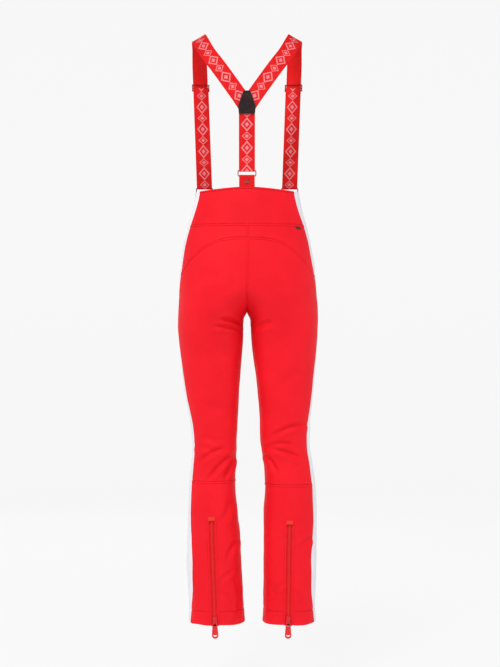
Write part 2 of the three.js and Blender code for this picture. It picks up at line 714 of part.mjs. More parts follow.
// How one shoulder strap lies at its front tab and on its straight run up to the adjuster.
// along(n, u) is a place u up that run from the ring's upper bar and n out from it.
function frontRun(side) {
  const s = sign[side];
  const angle = angleAt(side, STRAP_FOOT, STRAP_X, true);
  const root = surface(side, angle, STRAP_FOOT, 0);
  const out = surface(side, angle, STRAP_FOOT, 10).sub(root).setZ(0).normalize();
  const wide = vec(0, 0, 1).cross(out).normalize();
  if (wide.x * s < 0) wide.negate();
  const lowAngle = angleAt(side, STRAP_FOOT - TAB_DROP, STRAP_X, true);
  const down = surface(side, lowAngle, STRAP_FOOT - TAB_DROP, 0).sub(root);
  down.addScaledVector(wide, -down.dot(wide)).normalize();
  const lowerBar = root.clone().addScaledVector(out, TAB.stand).add(vec(0, 0, 3));

  const rise = lowerBar.z + RING.height + ADJUSTER_UP;
  const up = vec(s * ADJUSTER_X, lowerBar.y - 6, rise).sub(lowerBar).normalize();
  const across = wide.clone().addScaledVector(up, -wide.dot(up)).normalize();
  const ahead = up.clone().cross(across).multiplyScalar(s).normalize();
  if (ahead.y > 0) ahead.negate();
  const upperBar = lowerBar.clone().addScaledVector(up, RING.height);
  const along = (n, u) => upperBar.clone().addScaledVector(ahead, n).addScaledVector(up, u);
  return { out, wide, down, lowerBar, up, across, ahead, upperBar, along };
}

// Everything that hangs on one front tab, from the tab up to the leather yoke.
function makeFrontStrap(side) {
  const s = sign[side];
  const run = frontRun(side);
  const { across, along, up, ahead, upperBar } = run;
  const bend = (angle) => along(LOOP * Math.cos(angle), -LOOP * Math.sin(angle));
  const turn = [0.25, 0.5, 0.75].map((share) => bend(Math.PI * share));
  const stations = [
    { at: vec(s * 3, BACK_Y + LAYER, 206), wide: leaning(s * 0.83, 0, -0.56) },
    { at: vec(s * 14, BACK_Y + LAYER, 223), wide: leaning(s * 0.83, 0, -0.56) },
    { at: vec(s * 66, 84, 297), wide: leaning(s * 0.83, 0, -0.56) },
    { at: vec(s * 100, 54, 346), wide: leaning(s * 0.83, 0.05, -0.56) },
    { at: vec(s * 117, 22, 379), wide: leaning(s * 0.83, 0.12, -0.55) },
    { at: vec(s * 124, -16, 393), wide: leaning(s * 0.83, 0.2, -0.52) },
    { at: vec(s * 123.5, -52, 373), wide: leaning(s * 0.86, 0.33, -0.36) },
    { at: vec(s * 123, -79, 332), wide: leaning(s * 0.94, 0.3, -0.12) },
    ...[ADJUSTER_UP + 15, ADJUSTER_UP, 170, 80, 6, 0].map((u) => ({
      at: along(LOOP, u),
      wide: across,
    })),
    ...turn.map((at) => ({ at, wide: across })),
    { at: along(-LOOP, 0), wide: across },
    { at: along(-LOOP, 10), wide: across },
  ];
  const ownSide = block([0.2, -100, -20], [400, 100, 480]);
  if (s < 0) ownSide.rotateZ(Math.PI);
  const strap = toSolid(ribbon(stations, WEB.width, WEB.thick, 72)).intersect(toSolid(ownSide));
  add(`${side}_shoulder_strap`, toGeometry(strap), "webbing");
  const doubled = [10.4, 130, ADJUSTER_UP - 1].map((u) => ({ at: along(-LOOP, u), wide: across }));
  add(`${side}_strap_return`, ribbon(doubled, WEB.width - 1, WEB.thick, 3), "webbing");

  const flat = new THREE.Matrix4().makeBasis(up.clone().cross(ahead), up, ahead);
  add(`${side}_front_ring`, wireRing(), "metal", flat.clone().setPosition(upperBar));
  const adjusterFrame = flat.clone().setPosition(along(LOOP, ADJUSTER_UP));
  add(`${side}_adjuster`, adjuster(), "metal", adjusterFrame);
  makeFrontTab(side, run);
}

// The tab is folded over the ring's lower bar and lies down the outside of the waistband.
function makeFrontTab(side, { out, wide, down, lowerBar, across }) {
  const face = down.clone().cross(wide).normalize();
  if (face.dot(out) < 0) face.negate();
  const tabAt = (n, d) => lowerBar.clone().addScaledVector(face, n).addScaledVector(down, d);
  const fold = [0.75, 0.5, 0.25].map((share) =>
    tabAt(LOOP * Math.cos(Math.PI * share), -LOOP * Math.sin(Math.PI * share)),
  );
  const tab = [
    tabAt(-LOOP, TAB.inner), tabAt(-LOOP, 4), tabAt(-LOOP, 0), ...fold,
    tabAt(LOOP, 0), tabAt(LOOP, 4), tabAt(LOOP, TAB.outer),
  ].map((at, i) => ({ at, wide: i > 0 && i < 8 ? across : wide }));
  add(`${side}_front_tab`, ribbon(tab, WEB.width - 1, WEB.thick, 24), "webbing");

  const snapFrame = new THREE.Matrix4().makeBasis(down.clone().cross(face), down, face);
  const capAt = tabAt(LOOP + WEB.thick / 2 + GAP, SNAP.down);
  add(`${side}_tab_snap`, dome(SNAP.radius, SNAP.dome), "metal",
    snapFrame.clone().setPosition(capAt));
  const studZ = STRAP_FOOT + 3 - SNAP.down;
  const studFrame = clothFrame(side, angleAt(side, studZ, STRAP_X, true), studZ, 0.9);
  const { radius, base, post, height } = STUD;
  const disc = new THREE.CylinderGeometry(radius, radius, base, 16).translate(0, base / 2, 0);
  const tall = height - base + 0.2;
  const pin = new THREE.CylinderGeometry(post, post, tall, 12).translate(0, height - tall / 2, 0);
  const stud = joined([disc, pin].map((piece) => piece.rotateX(Math.PI / 2)));
  add(`${side}_waist_stud`, stud, "metal", studFrame);
}

// Half a turn round a bar of the back ring, from behind to in front. way is 1 below and -1 above.
function backTurn(z, y, way) {
  return [0.25, 0.5, 0.75].map((share) => {
    const angle = Math.PI * share;
    return vec(0, y + LOOP * Math.cos(angle), z - way * LOOP * Math.sin(angle));
  });
}

function makeBackStrap() {
  const wide = vec(1, 0, 0);
  const upper = BACK_RING_Z + RING.height;
  const ringY = BACK_TAB_Y;
  const strap = [
    vec(0, BACK_Y, 226), vec(0, BACK_Y, 180), vec(0, BACK_Y - 1.5, 130),
    vec(0, ringY + LOOP + 1, upper + 30), vec(0, ringY + LOOP, upper + 8),
    vec(0, ringY + LOOP, upper), ...backTurn(upper, ringY, 1), vec(0, ringY - LOOP, upper),
    vec(0, ringY - LOOP, upper + 8), vec(0, ringY - LOOP + 1.8, upper + 24),
  ].map((at) => ({ at, wide }));
  add("back_strap", ribbon(strap, WEB.width, WEB.thick, 36), "webbing");
  const ringFrame = new THREE.Matrix4().makeBasis(vec(-1, 0, 0), vec(0, 0, 1), vec(0, 1, 0));
  add("back_ring", wireRing(), "metal", ringFrame.clone().setPosition(0, ringY, upper));
  makeBackTab(ringFrame);
}

// The tab comes up from inside the waistband, over the ring's lower bar and back down.
function makeBackTab(ringFrame) {
  const ringY = BACK_TAB_Y;
  const { front: fore, back: rear, inner: shorter, outer: longer, snap } = BACK_TAB;
  const leg = (lay, loop, length) => [
    vec(0, lay, BACK_RING_Z - length), vec(0, lay, BACK_RING_Z - 12),
    vec(0, lay, BACK_RING_Z - 7), vec(0, loop, BACK_RING_Z - 2), vec(0, loop, BACK_RING_Z),
  ];
  const tab = [
    ...leg(ringY - fore, ringY - LOOP, shorter),
    ...backTurn(BACK_RING_Z, ringY, -1).reverse(),
    ...leg(ringY + rear, ringY + LOOP, longer).reverse(),
  ].map((at) => ({ at, wide: vec(1, 0, 0) }));
  add("back_tab", ribbon(tab, WEB.width - 1, WEB.thick, 36), "webbing");
  const capY = ringY + rear + WEB.thick / 2 + GAP;
  const capFrame = ringFrame.clone().setPosition(0, capY, BACK_RING_Z - snap);
  add("back_tab_snap", dome(SNAP.radius, SNAP.dome), "metal", capFrame);
}

function makeYokePatches() {
  const outline = new THREE.Shape();
  const { top, wide, low, topHalf, wideHalf, thick } = YOKE;
  outline.moveTo(-topHalf, top);
  outline.lineTo(-wideHalf, wide);
  outline.lineTo(2 - wideHalf, low);
  outline.lineTo(wideHalf - 2, low);
  outline.lineTo(wideHalf, wide);
  outline.lineTo(topHalf, top);
  const options = { depth: thick, bevelEnabled: false };
  const upright = new THREE.Matrix4().makeRotationX(Math.PI / 2);
  const plate = (y) =>
    new THREE.ExtrudeGeometry(outline, options).applyMatrix4(upright).translate(0, y + thick, 0);
  add("yoke_patch_outer", plate(BACK_Y + LAYER + WEB.thick / 2 + 0.35), "leather");
  add("yoke_patch_inner", plate(BACK_Y - WEB.thick / 2 - 0.35 - thick), "leather");
}

makeWaistband();
for (const side of ["left", "right"]) {
  makeTrunkPanels(side);
  makeLowerLeg(side);
  makeFrontStrap(side);
}
makeFly();
makeTrims();
makeBackStrap();
makeYokePatches();

export default model;
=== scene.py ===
import math

import bmesh
import bpy
import numpy as np
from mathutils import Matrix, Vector


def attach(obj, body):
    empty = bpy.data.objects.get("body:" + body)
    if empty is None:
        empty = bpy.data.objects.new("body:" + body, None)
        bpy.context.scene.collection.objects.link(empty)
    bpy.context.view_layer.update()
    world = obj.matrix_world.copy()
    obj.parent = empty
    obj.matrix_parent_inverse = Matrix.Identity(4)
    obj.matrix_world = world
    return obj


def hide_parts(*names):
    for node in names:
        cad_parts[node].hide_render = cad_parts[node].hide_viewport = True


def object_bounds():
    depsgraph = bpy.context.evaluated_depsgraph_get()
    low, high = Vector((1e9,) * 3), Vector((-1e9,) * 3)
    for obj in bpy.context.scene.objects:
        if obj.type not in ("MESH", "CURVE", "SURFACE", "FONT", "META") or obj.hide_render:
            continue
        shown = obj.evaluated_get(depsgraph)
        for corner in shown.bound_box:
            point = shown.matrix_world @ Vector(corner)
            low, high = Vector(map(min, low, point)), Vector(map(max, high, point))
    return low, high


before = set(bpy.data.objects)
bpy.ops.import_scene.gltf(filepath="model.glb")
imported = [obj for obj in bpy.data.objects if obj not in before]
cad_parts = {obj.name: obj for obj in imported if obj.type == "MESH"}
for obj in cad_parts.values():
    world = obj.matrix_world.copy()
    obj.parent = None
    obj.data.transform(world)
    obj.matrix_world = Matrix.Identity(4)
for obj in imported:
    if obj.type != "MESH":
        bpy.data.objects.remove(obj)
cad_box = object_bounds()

# Ski pants with Y-back suspenders. Shapes are worked out in millimetres, in the part's frame:
# +Z up, the front faces -Y, and +X is the wearer's left.
MM = 0.001
LEFT, RIGHT = 1, -1
BOTH = (LEFT, RIGHT)
WORD = {LEFT: "left", RIGHT: "right"}

# ---------- the part's driving dimensions ----------
CLOTH = 2.0  # softshell with its bonded lining
FACING = {"thick": 1.2, "lift": -CLOTH - 2}  # 2 mm behind the cloth
WAIST_SEAM = -94
CROTCH = -308
HIP_TOP = -170  # below this the halves part from the middle plane, towards the crotch
CROTCH_SPREAD = 0.26
CROTCH_EASE = -236  # below this the middle seam eases into the inseam
KNEE_SEAM = {LEFT: -738, RIGHT: -747}
HEM = -1091
HEM_DEPTH = 33
BACK_PEAK, BACK_RISE = 4.5, 10  # the waist's top edge at the centre back, and how far it rises
YOKE_CENTRE, YOKE_DROP = -128, 76
STRIPE_FRONT = 28
STRIPE_SEAM = -205  # the short seam across each stripe at the hip
OVERLAP = 18
BACK_TAB_ROOM = {"half": 23, "low": -48}  # the gap in the facing behind the back tab

# Half-widths and reaches of a leg's section, as (height, value) pairs.
OUTER = {
    LEFT: [(0, 131), (-50, 141), (-98, 153), (-150, 164), (-200, 170), (-260, 173), (-350, 176),
           (-415, 171), (-475, 164), (-540, 153), (-600, 143), (-655, 139), (-700, 142),
           (-750, 148), (-850, 151), (-950, 153), (-1030, 149), (-1110, 147)],
    RIGHT: [(0, 131), (-50, 141), (-98, 154), (-150, 165), (-200, 173), (-260, 178), (-320, 181),
            (-415, 177), (-475, 172), (-540, 166), (-600, 161), (-640, 160), (-700, 168),
            (-750, 175), (-850, 177), (-950, 177), (-1030, 174), (-1110, 174)],
}
INNER = {
    LEFT: [(-308, 0), (-328, 9), (-384, 10.5), (-475, 17.5), (-567, 23), (-660, 27), (-740, 30),
           (-800, 26), (-870, 18), (-950, 13.5), (-1030, 10), (-1110, 5)],
    RIGHT: [(-308, 0), (-328, 9.5), (-384, 12.5), (-475, 24), (-567, 32), (-640, 36), (-700, 44),
            (-750, 46), (-810, 43), (-900, 42), (-1110, 41)],
}
FRONT = [(0, 84), (-94, 98), (-140, 100.5), (-190, 103.2), (-240, 106), (-308, 100), (-380, 90),
         (-480, 80), (-600, 68), (-660, 64), (-740, 62), (-820, 66), (-1110, 74)]
BACK = [(0, 88), (-94, 106), (-190, 125), (-240, 127), (-290, 117), (-340, 102), (-420, 88),
        (-520, 74), (-620, 64), (-680, 66), (-750, 73), (-800, 75), (-900, 77.3), (-1000, 79.6),
        (-1110, 82)]
STRIPE_BACK = [(0, 33), (-27, 35), (-120, 31.5), (-200, 34), (-330, 24), (-450, 32),
               (-560, 33.5), (-625, 35), (-690, 38), (-740, 46), (-810, 46), (-870, 50),
               (-940, 57), (-1000, 57), (-1046, 51.5), (-1110, 41)]
FRONT_SQUARE = [(0, 6), (-60, 3.6), (-110, 2.8), (-308, 2.8), (-420, 2.2), (-1110, 2.3)]
BACK_SQUARE = [(0, 2.4), (-308, 2.4), (-420, 2.2), (-800, 2.3), (-1110, 2.6)]

HEM_ZIP = {LEFT: {"top_x": 89, "low_x": 80, "top": -828},
           RIGHT: {"top_x": 107, "low_x": 103, "top": -837}}
ZIP_GAP = 6.8  # half the gap between the cloth edges along a zip
TAPE_HALF = 13
GUARD_HALF = 29
HEM_OPEN = 34  # half the gap in the hem facing, behind the zip
TOOTH = {"pitch": 2.3, "low": -2.4, "high": -0.35, "start": 5, "end": 3, "wide": 3.5,
         "aside": 1.05}
ZIP_STOP = {"wide": 5.6, "tall": 2.2, "below_top": 1.6}
ZIP_TAB = {"size": (16.6, 10, 1.6), "below_top": 3, "stand": 0.3}
TAPE = {"thick": 0.8, "behind": 1.5}
FLY_LAYERS = {"tape": 3.5, "guard": 5.1, "guard_half": 20, "guard_thick": 1.2}
FLY_TOP, FLY_LOW = -101, -232
SIDE_TAG = {"near": 120, "far": 131, "top": -94.8, "low": -100.8, "slant": 0.7}

WEB = {"width": 40, "thick": 1.4}
WIRE = 1.25
LOOP = 2.45  # from a bar's axis to the middle of the webbing round it
RING = {"width": 44.6, "height": 14, "corner": 3}
ADJUSTER = {"half": 9, "wire": 1.15, "reach": 21.6, "knob": 1.75}
STRAP_X, STRAP_FOOT = 108.5, -1
ADJUSTER_X, ADJUSTER_UP, ADJUSTER_AHEAD = 120.5, 262, 6
TAB = {"outer": 36, "inner": 17, "stand": 5.4, "up": 3, "drop": 34}
SNAP = {"radius": 6.5, "dome": 4.2, "down": 24, "back": 13.5, "stand": 0.3}
WAIST_SNAPS = {"x": 4, "heights": {"upper_waist_snap": -24, "lower_waist_snap": -70}}
BACK_RING_Z = 31
BACK_TAB = {"front": 1.3, "back": 0.9, "inner": 60, "outer": 70}
BACK_Y, BACK_TAB_Y = 92, 83.8
LAYER = WEB["thick"] + 0.35
# A shoulder strap from the yoke patch over to its straight front run: places and directions across.
OVER_SHOULDER = [
    ((3, BACK_Y + LAYER, 206), (0.83, 0, -0.56)), ((14, BACK_Y + LAYER, 223), (0.83, 0, -0.56)),
    ((66, 84, 297), (0.83, 0, -0.56)), ((100, 54, 346), (0.83, 0.05, -0.56)),
    ((117, 22, 379), (0.83, 0.12, -0.55)), ((124, -16, 393), (0.83, 0.2, -0.52)),
    ((123.5, -52, 373), (0.86, 0.33, -0.36)), ((123, -79, 332), (0.94, 0.3, -0.12)),
]
YOKE = {"top": 243, "wide": 205, "low": 185, "top_half": 8.5, "wide_half": 22, "thick": 1.6}

# Rows of stitches: how far each stands from its edge or seam, and how deep it lies.
SEAM_ROW = {"aside": 5.6, "lift": -0.45}
RIM_ROW = {"aside": 4.6, "lift": 0.1}
ZIP_ROW = {"aside": 5.4, "lift": -0.2}

# ---------- the stage, in metres and watts, except the bowl ----------
AIM = (0, 0, -0.4)
LIGHTS = {  # place, power, size
    "key": ((1.3, 4.0, 4.4), 228, (1.6, 1.6)),
    "fill": ((-1.6, 3.4, 0.2), 14, (1.6, 2.2)),
    "left_side_fill": ((2.6, 1.0, 0.3), 11, (1.2, 2.0)),
    "right_side_fill": ((-2.6, 1.0, 0.3), 11, (1.2, 2.0)),
    "front_fill": ((0.8, -3.4, 1.4), 40, (2.4, 2.4)),
}
SKY = {"tone": (0.97, 0.975, 1.0, 1), "strength": 0.2}
BOWL = {"centre": 2000, "flat": 5500, "bend": 1500, "wall": 3600, "below": 160}  # millimetres
GLOW = {"least": 0.53, "more": 0.34, "dim_from": 1.0, "dim_to": 4.0}
CAMERA = {"lens": 84.66, "place": (-0.00765, 4.0, -0.362)}

# ---------- creases ----------
# Each runs from x, z to x, z on its own face of the cloth, with a depth and a half-width.
BACK_FOLDS = [
    (68, -325, 10, -338, 8.4, 5.5), (80, -341, 14, -352, 6.8, 5.5), (-22, -348, -64, -333, 4, 6.8),
    (124, -684, 52, -645, 5, 5.8), (102, -728, 30, -660, 6, 5.6), (57, -727, 28, -668, 6.8, 5.4),
    (133, -640, 84, -655, 3.2, 6), (-58, -618, -154, -585, 5.2, 5.8),
    (-50, -643, -120, -639, 4.6, 5.2), (-46, -646, -142, -677, 5.4, 5.6),
    (-44, -664, -78, -714, 5, 5.2), (-112, -700, -146, -692, 1.6, 7), (36, -778, 62, -838, 3.4, 9),
    (52, -930, 24, -880, 3.9, 6), (70, -985, 34, -955, 3.6, 5.4),
    (-132, -900, -163, -872, 3.9, 6.5), (-60, -1020, -88, -986, 3.9, 5.4),
    (-122, -1000, -140, -1050, 3.9, 5.4), (130, -870, 112, -930, 1.6, 10),
    (60, -560, 130, -520, 2.1, 16), (-70, -500, -150, -455, 1.9, 16),
    (30, -420, 90, -395, 1.8, 14), (26, -968, 22, -1088, 2.8, 4.5),
    (-44, -990, -42, -1086, 1.0, 4), (128, -628, 60, -632, 2.2, 8),
    (62, -1010, 28, -1036, 3.0, 5.2), (106, -1012, 98, -978, 2.8, 5.2),
    (20, -232, 60, -262, 1.9, 12), (-20, -232, -58, -262, 1.6, 12),
]
FRONT_FOLDS = [
    (14, -300, 96, -262, 3.4, 9), (-14, -300, -96, -262, 3.4, 9), (12, -318, 120, -306, 3.1, 8),
    (-12, -318, -120, -306, 3.1, 8), (16, -345, 84, -348, 2.1, 9), (-16, -345, -84, -348, 2.1, 9),
    (30, -640, 118, -668, 2.3, 9), (34, -690, 110, -676, 2.0, 8), (-46, -646, -140, -676, 2.3, 9),
    (-50, -700, -130, -686, 2.0, 8), (40, -1010, 96, -1040, 1.6, 9),
    (-60, -1036, -120, -1004, 1.6, 9), (60, -900, 116, -868, 1.3, 12),
    (-76, -880, -140, -906, 1.3, 12), (60, -470, 110, -500, 1.3, 16),
]


# ---------- the garment's surface ----------
def hermite(t, start, end, leaving, arriving):
    """A cubic from start to end, with its slopes at both ends."""
    return ((2 * t**3 - 3 * t**2 + 1) * start + (3 * t**2 - 2 * t**3) * end
            + (t**3 - 2 * t**2 + t) * leaving + (t**3 - t**2) * arriving)


def profile(pairs):
    """A smooth curve through (place, value) pairs that never overshoots them."""
    x, y = np.array(sorted(pairs), float).T
    secant = np.diff(y) / np.diff(x)
    before = np.concatenate([secant[:1], secant])
    after = np.concatenate([secant, secant[-1:]])
    flat = before * after <= 0
    slope = np.where(flat, 0, 2 * before * after / np.where(flat, 1, before + after))

    def value(place):
        z = np.clip(place, x[0], x[-1])
        i = np.clip(np.searchsorted(x, z, side="right") - 1, 0, len(x) - 2)
        wide = x[i + 1] - x[i]
        return hermite((z - x[i]) / wide, y[i], y[i + 1], wide * slope[i], wide * slope[i + 1])

    return value


outer_of, inner_of = ({s: profile(pairs[s]) for s in BOTH} for pairs in (OUTER, INNER))
front_of, back_of, stripe_reach = map(profile, (FRONT, BACK, STRIPE_BACK))
front_square, back_square = map(profile, (FRONT_SQUARE, BACK_SQUARE))


def unit(v):
    return v / np.linalg.norm(v, axis=-1, keepdims=True)


def turned_to(v, way):
    """The direction v or its opposite, whichever points the given way."""
    return v if np.dot(v, way) > 0 else -v


def run_along(path):
    """The distance along a path, or along each of a stack of paths, to every place on it."""
    steps = np.linalg.norm(np.diff(path, axis=-2), axis=-1)
    return np.concatenate([0 * steps[..., :1], steps.cumsum(-1)], -1)


def smooth(t):
    return t * t * (3 - 2 * t)


def section(s, z, is_front):
    """A section's centre, half-width, reach and squareness on its front or back half."""
    far = outer_of[s](z)
    t = np.clip((z - CROTCH) / (HIP_TOP - CROTCH), 0, 1)
    share = CROTCH_SPREAD * t * (1 - t) ** 2 + smooth(t)
    near = np.where(z <= CROTCH, inner_of[s](z), -far * share)
    reach = np.where(is_front, front_of(z), back_of(z))
    square = np.where(is_front, front_square(z), back_square(z))
    return (far + near) / 2, (far - near) / 2, reach, square


def on_surface(s, angle, z):
    """The smooth surface. The angle is 0 at the inseam, 90 degrees in front, 180 at the side."""
    centre, half, reach, square = section(s, z, np.sin(angle) > 0)
    c, n = np.abs(np.cos(angle)), np.abs(np.sin(angle))
    radius = ((c / half) ** square + (n / reach) ** square) ** (-1 / square)
    x = s * (centre - radius * np.cos(angle))
    return np.stack([x, -radius * np.sin(angle), z + 0 * x], -1)


def normal_at(s, angle, z, turn=0.004, step=0.5):
    around = on_surface(s, angle + turn, z) - on_surface(s, angle - turn, z)
    along = on_surface(s, angle, z + step) - on_surface(s, angle, z - step)
    return unit(s * np.cross(around, along))


def angle_at(s, z, x, is_front):
    """Where the front or back half of a section is x from the middle plane, on its own side."""
    centre, half, reach, square = section(s, z, is_front)
    across = centre - x
    along = np.clip(np.abs(across) / half, 0, 1)
    angle = np.arctan2(reach * (1 - along**square) ** (1 / square), across)
    return angle if is_front else 2 * math.pi - angle


def point_at(s, x, z, is_front):
    """The place on the smooth surface that is x from the middle plane, at height z."""
    z = np.array(float(z))
    return on_surface(s, angle_at(s, z, x, is_front), z)


def line_at(s, x, is_front):
    """The edge line x from the middle plane, where x can depend on the height."""
    place = x if callable(x) else lambda z: x
    return lambda z: angle_at(s, z, place(z), is_front)


def stripe_front(z):
    return math.pi - np.arcsin(STRIPE_FRONT / front_of(z))


def stripe_back(z):
    return math.pi + np.arcsin(stripe_reach(z) / back_of(z))


def zip_x(s, z):
    at = HEM_ZIP[s]
    return at["low_x"] + (at["top_x"] - at["low_x"]) * (z - HEM) / (at["top"] - HEM)


def beside_zip(s, aside):
    """The line beside the hem zip. Positive is towards the side seam."""
    return line_at(s, lambda z: zip_x(s, z) + aside, False)


def level(z):
    return lambda angle, x: z + 0 * angle


def waist_edge(drop=0):
    peak = BACK_PEAK - drop
    return lambda angle, x: peak - BACK_RISE * (1 - np.clip(-np.sin(angle), 0, None) ** 2)


def yoke_seam(angle, x):
    return YOKE_CENTRE - YOKE_DROP * (np.abs(x) / 160) ** 3


# ---------- relief ----------
def bell(distance, width):
    return np.exp(-((distance / width) ** 2))


def stroke(x, z, fold):
    """A curved crease with a ridge below and a smaller one above. It fades at both ends."""
    x0, z0, x1, z1, depth, width = fold
    length = math.hypot(x1 - x0, z1 - z0)
    run = ((x1 - x0) / length, (z1 - z0) / length)
    t = ((x - x0) * run[0] + (z - z0) * run[1]) / length
    aside = (z - z0) * run[0] - (x - x0) * run[1]
    aside = math.copysign(1, run[0]) * (aside + 0.08 * length * (4 * t * (1 - t) - 0.7))
    fade = bell(np.clip(np.abs(t - 0.5) - 0.25, 0, None), 0.2)
    below = 0.55 * bell(aside + 1.9 * width, 1.3 * width)
    above = 0.35 * bell(aside - 1.8 * width, 1.2 * width)
    return depth * fade * (below + above - bell(aside, width))


def waves(p, size, seed):
    """Gentle undulation between about -1 and 1, from a few crossed sines."""
    total = 0
    for i in range(5):
        turn = seed + 2.4 * i
        way = np.array([math.sin(turn), math.cos(1.7 * turn), math.sin(0.9 * turn + 1)])
        total = total + np.sin(p @ way * (2 * math.pi / size) * (0.7 + 0.25 * i) + 1.3 * turn)
    return total / 3.2


PUCKER = {"depth": 0.4, "reach": 26, "pitch": 4.6, "drift": 31, "calm": 0.9, "calm_reach": 17}


def zip_relief(p, behind):
    """Small puckers beside each hem zip, and how far the larger folds are held flat there."""
    x, z = p[..., 0], p[..., 2]
    puckers, held = 0.0, 1.0
    for s in BOTH:
        aside = s * x - zip_x(s, z)
        near = behind * (z < HEM_ZIP[s]["top"] + 10) * (s * x > 0)
        ripple = np.sin(z / PUCKER["pitch"] + 1.5 * np.sin(z / PUCKER["drift"]))
        puckers = puckers + near * bell(aside, PUCKER["reach"]) * PUCKER["depth"] * ripple
        held = held * (1 - PUCKER["calm"] * near * bell(aside, PUCKER["calm_reach"]))
    return puckers, held


def hem_share(z):
    """From 0 at the hem's stitches to 1 at its edge."""
    return np.clip((HEM + HEM_DEPTH - z) / HEM_DEPTH, 0, 1)


def relief(p):
    """How far the cloth stands proud of the smooth surface."""
    x, y, z = p[..., 0], p[..., 1], p[..., 2]
    behind = 1 / (1 + np.exp(-y / 9))
    folds = sum(behind * stroke(x, z, fold) for fold in BACK_FOLDS)
    folds = folds + sum((1 - behind) * stroke(x, z, fold) for fold in FRONT_FOLDS)
    calm = np.clip((-z - 60) / 140, 0, 1)
    folds = folds + calm * (0.7 * waves(p, 150, 0.4) + 0.32 * waves(p, 62, 2.1))
    puckers, held = zip_relief(p, behind)
    fly = 1 - 0.95 * (1 - behind) * bell(x, 24) * (z > FLY_LOW - 10)
    gathered = hem_share(z) * (1.2 + 0.9 * waves(p, 46, 5.0)) - 1.4 * bell(z - HEM - HEM_DEPTH, 2.2)
    return folds * held * fly + puckers + held * gathered


def skin(s, angle, z, lift=0.0):
    """A point of the finished cloth, raised by lift."""
    base = on_surface(s, angle, z)
    raised = np.asarray(relief(base) + lift)
    place = base + normal_at(s, angle, z) * raised[..., None]
    place[..., 2] += 1.5 * hem_share(z) * waves(place, 95, 3.3)
    past = s * base[..., 0]  # on the middle plane, seams stay there
    at_middle = (np.abs(past) < 0.05) | ((z < HIP_TOP) & (past < 0))
    place[..., 0] = np.where((z > CROTCH) & at_middle, 0, place[..., 0])
    return place


def in_scene(name, data):
    item = bpy.data.objects.new(name, data)
    bpy.context.scene.collection.objects.link(item)
    return item


def finish_piece(piece, body, nodes):
    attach(piece, body)
    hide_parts(*nodes)
    return piece


def mesh_object(name, verts, faces, materials, uv=None):
    mesh = bpy.data.meshes.new(name)
    mesh.from_pydata(np.asarray(verts, float) * MM, [], faces)
    for material in materials:
        mesh.materials.append(material)
    if uv is not None:
        corner = np.empty(len(mesh.loops), int)
        mesh.loops.foreach_get("vertex_index", corner)
        layer = mesh.uv_layers.new(name="cloth")
        layer.data.foreach_set("uv", np.asarray(uv, float)[corner].ravel())
    mesh.shade_smooth()
    return in_scene(name, mesh)


def shell_faces(mask):
    """Faces of a closed shell over a grid: outside, inside, then walls along each border."""
    rows, cols = mask.shape
    number = np.arange((rows + 1) * (cols + 1)).reshape(rows + 1, cols + 1)
    count = number.size
    a, b, c, d = number[:-1, :-1], number[:-1, 1:], number[1:, 1:], number[1:, :-1]
    outside = np.stack([a[mask], b[mask], c[mask], d[mask]], -1)
    padded = np.pad(mask, 1)
    walls = []
    neighbours = ((a, b, padded[:-2, 1:-1]), (b, c, padded[1:-1, 2:]),
                  (c, d, padded[2:, 1:-1]), (d, a, padded[1:-1, :-2]))
    for p, q, beyond in neighbours:
        border = mask & ~beyond
        start, end = p[border], q[border]
        walls.append(np.stack([end, start, start + count, end + count], -1))
    return outside, np.concatenate([outside, outside[:, ::-1] + count, *walls])


def grid_shell(name, outside, inside, uv, mask, materials, turned):
    """A closed shell between two grids. The second material, if any, is for all but the outside."""
    outer_faces, faces = shell_faces(mask)
    used, places = np.unique(faces, return_inverse=True)
    faces = places.reshape(faces.shape)
    verts = np.concatenate([outside.reshape(-1, 3), inside.reshape(-1, 3)])[used]
    uv = np.concatenate([uv.reshape(-1, 2), uv.reshape(-1, 2)])[used]
    faces = faces[:, ::-1] if turned else faces
    piece = mesh_object(name, verts, faces, materials, uv)
    if len(materials) > 1:
        index = np.ones(len(faces), int)
        index[: len(outer_faces)] = 0
        piece.data.polygons.foreach_set("material_index", index)
    return piece


SMALLEST_SHEET = 0.010  # metres; the side tag is narrower than this


def declare_sheet(grid):
    across = np.linalg.norm(np.diff(grid, axis=1), axis=-1).sum(1).max() * MM
    along = np.linalg.norm(np.diff(grid, axis=0), axis=-1).sum(0).max() * MM
    min(across, along) > SMALLEST_SHEET


NEAR_EDGE = (0, 0.2, 0.5, 0.9, 1.4, 2.1, 3.0, 3.8, 4.5, 5.1, 5.6, 6.1, 6.7, 7.6, 9.0)


def graded(length, coarse):
    """Shares of a length, close together near both ends."""
    ends = np.array([d for d in NEAR_EDGE if d < 0.42 * length])
    count = max(1, round((length - 2 * ends[-1]) / coarse))
    middle = np.linspace(ends[-1], length - ends[-1], count + 1)[1:-1]
    return np.concatenate([ends, middle, length - ends[::-1]]) / length


def even_steps(s, low, high, heights, samples=48):
    """For each height, the width from low to high and the angle at each even step across."""
    ladder = np.linspace(0, 1, samples)
    first, last = low(heights), high(heights)
    angle = first[:, None] + (last - first)[:, None] * ladder
    run = run_along(on_surface(s, angle, heights[:, None] + 0 * angle))
    shares = np.array([np.interp(ladder, r / max(r[-1], 1e-6), ladder) for r in run])
    return run[:, -1], shares


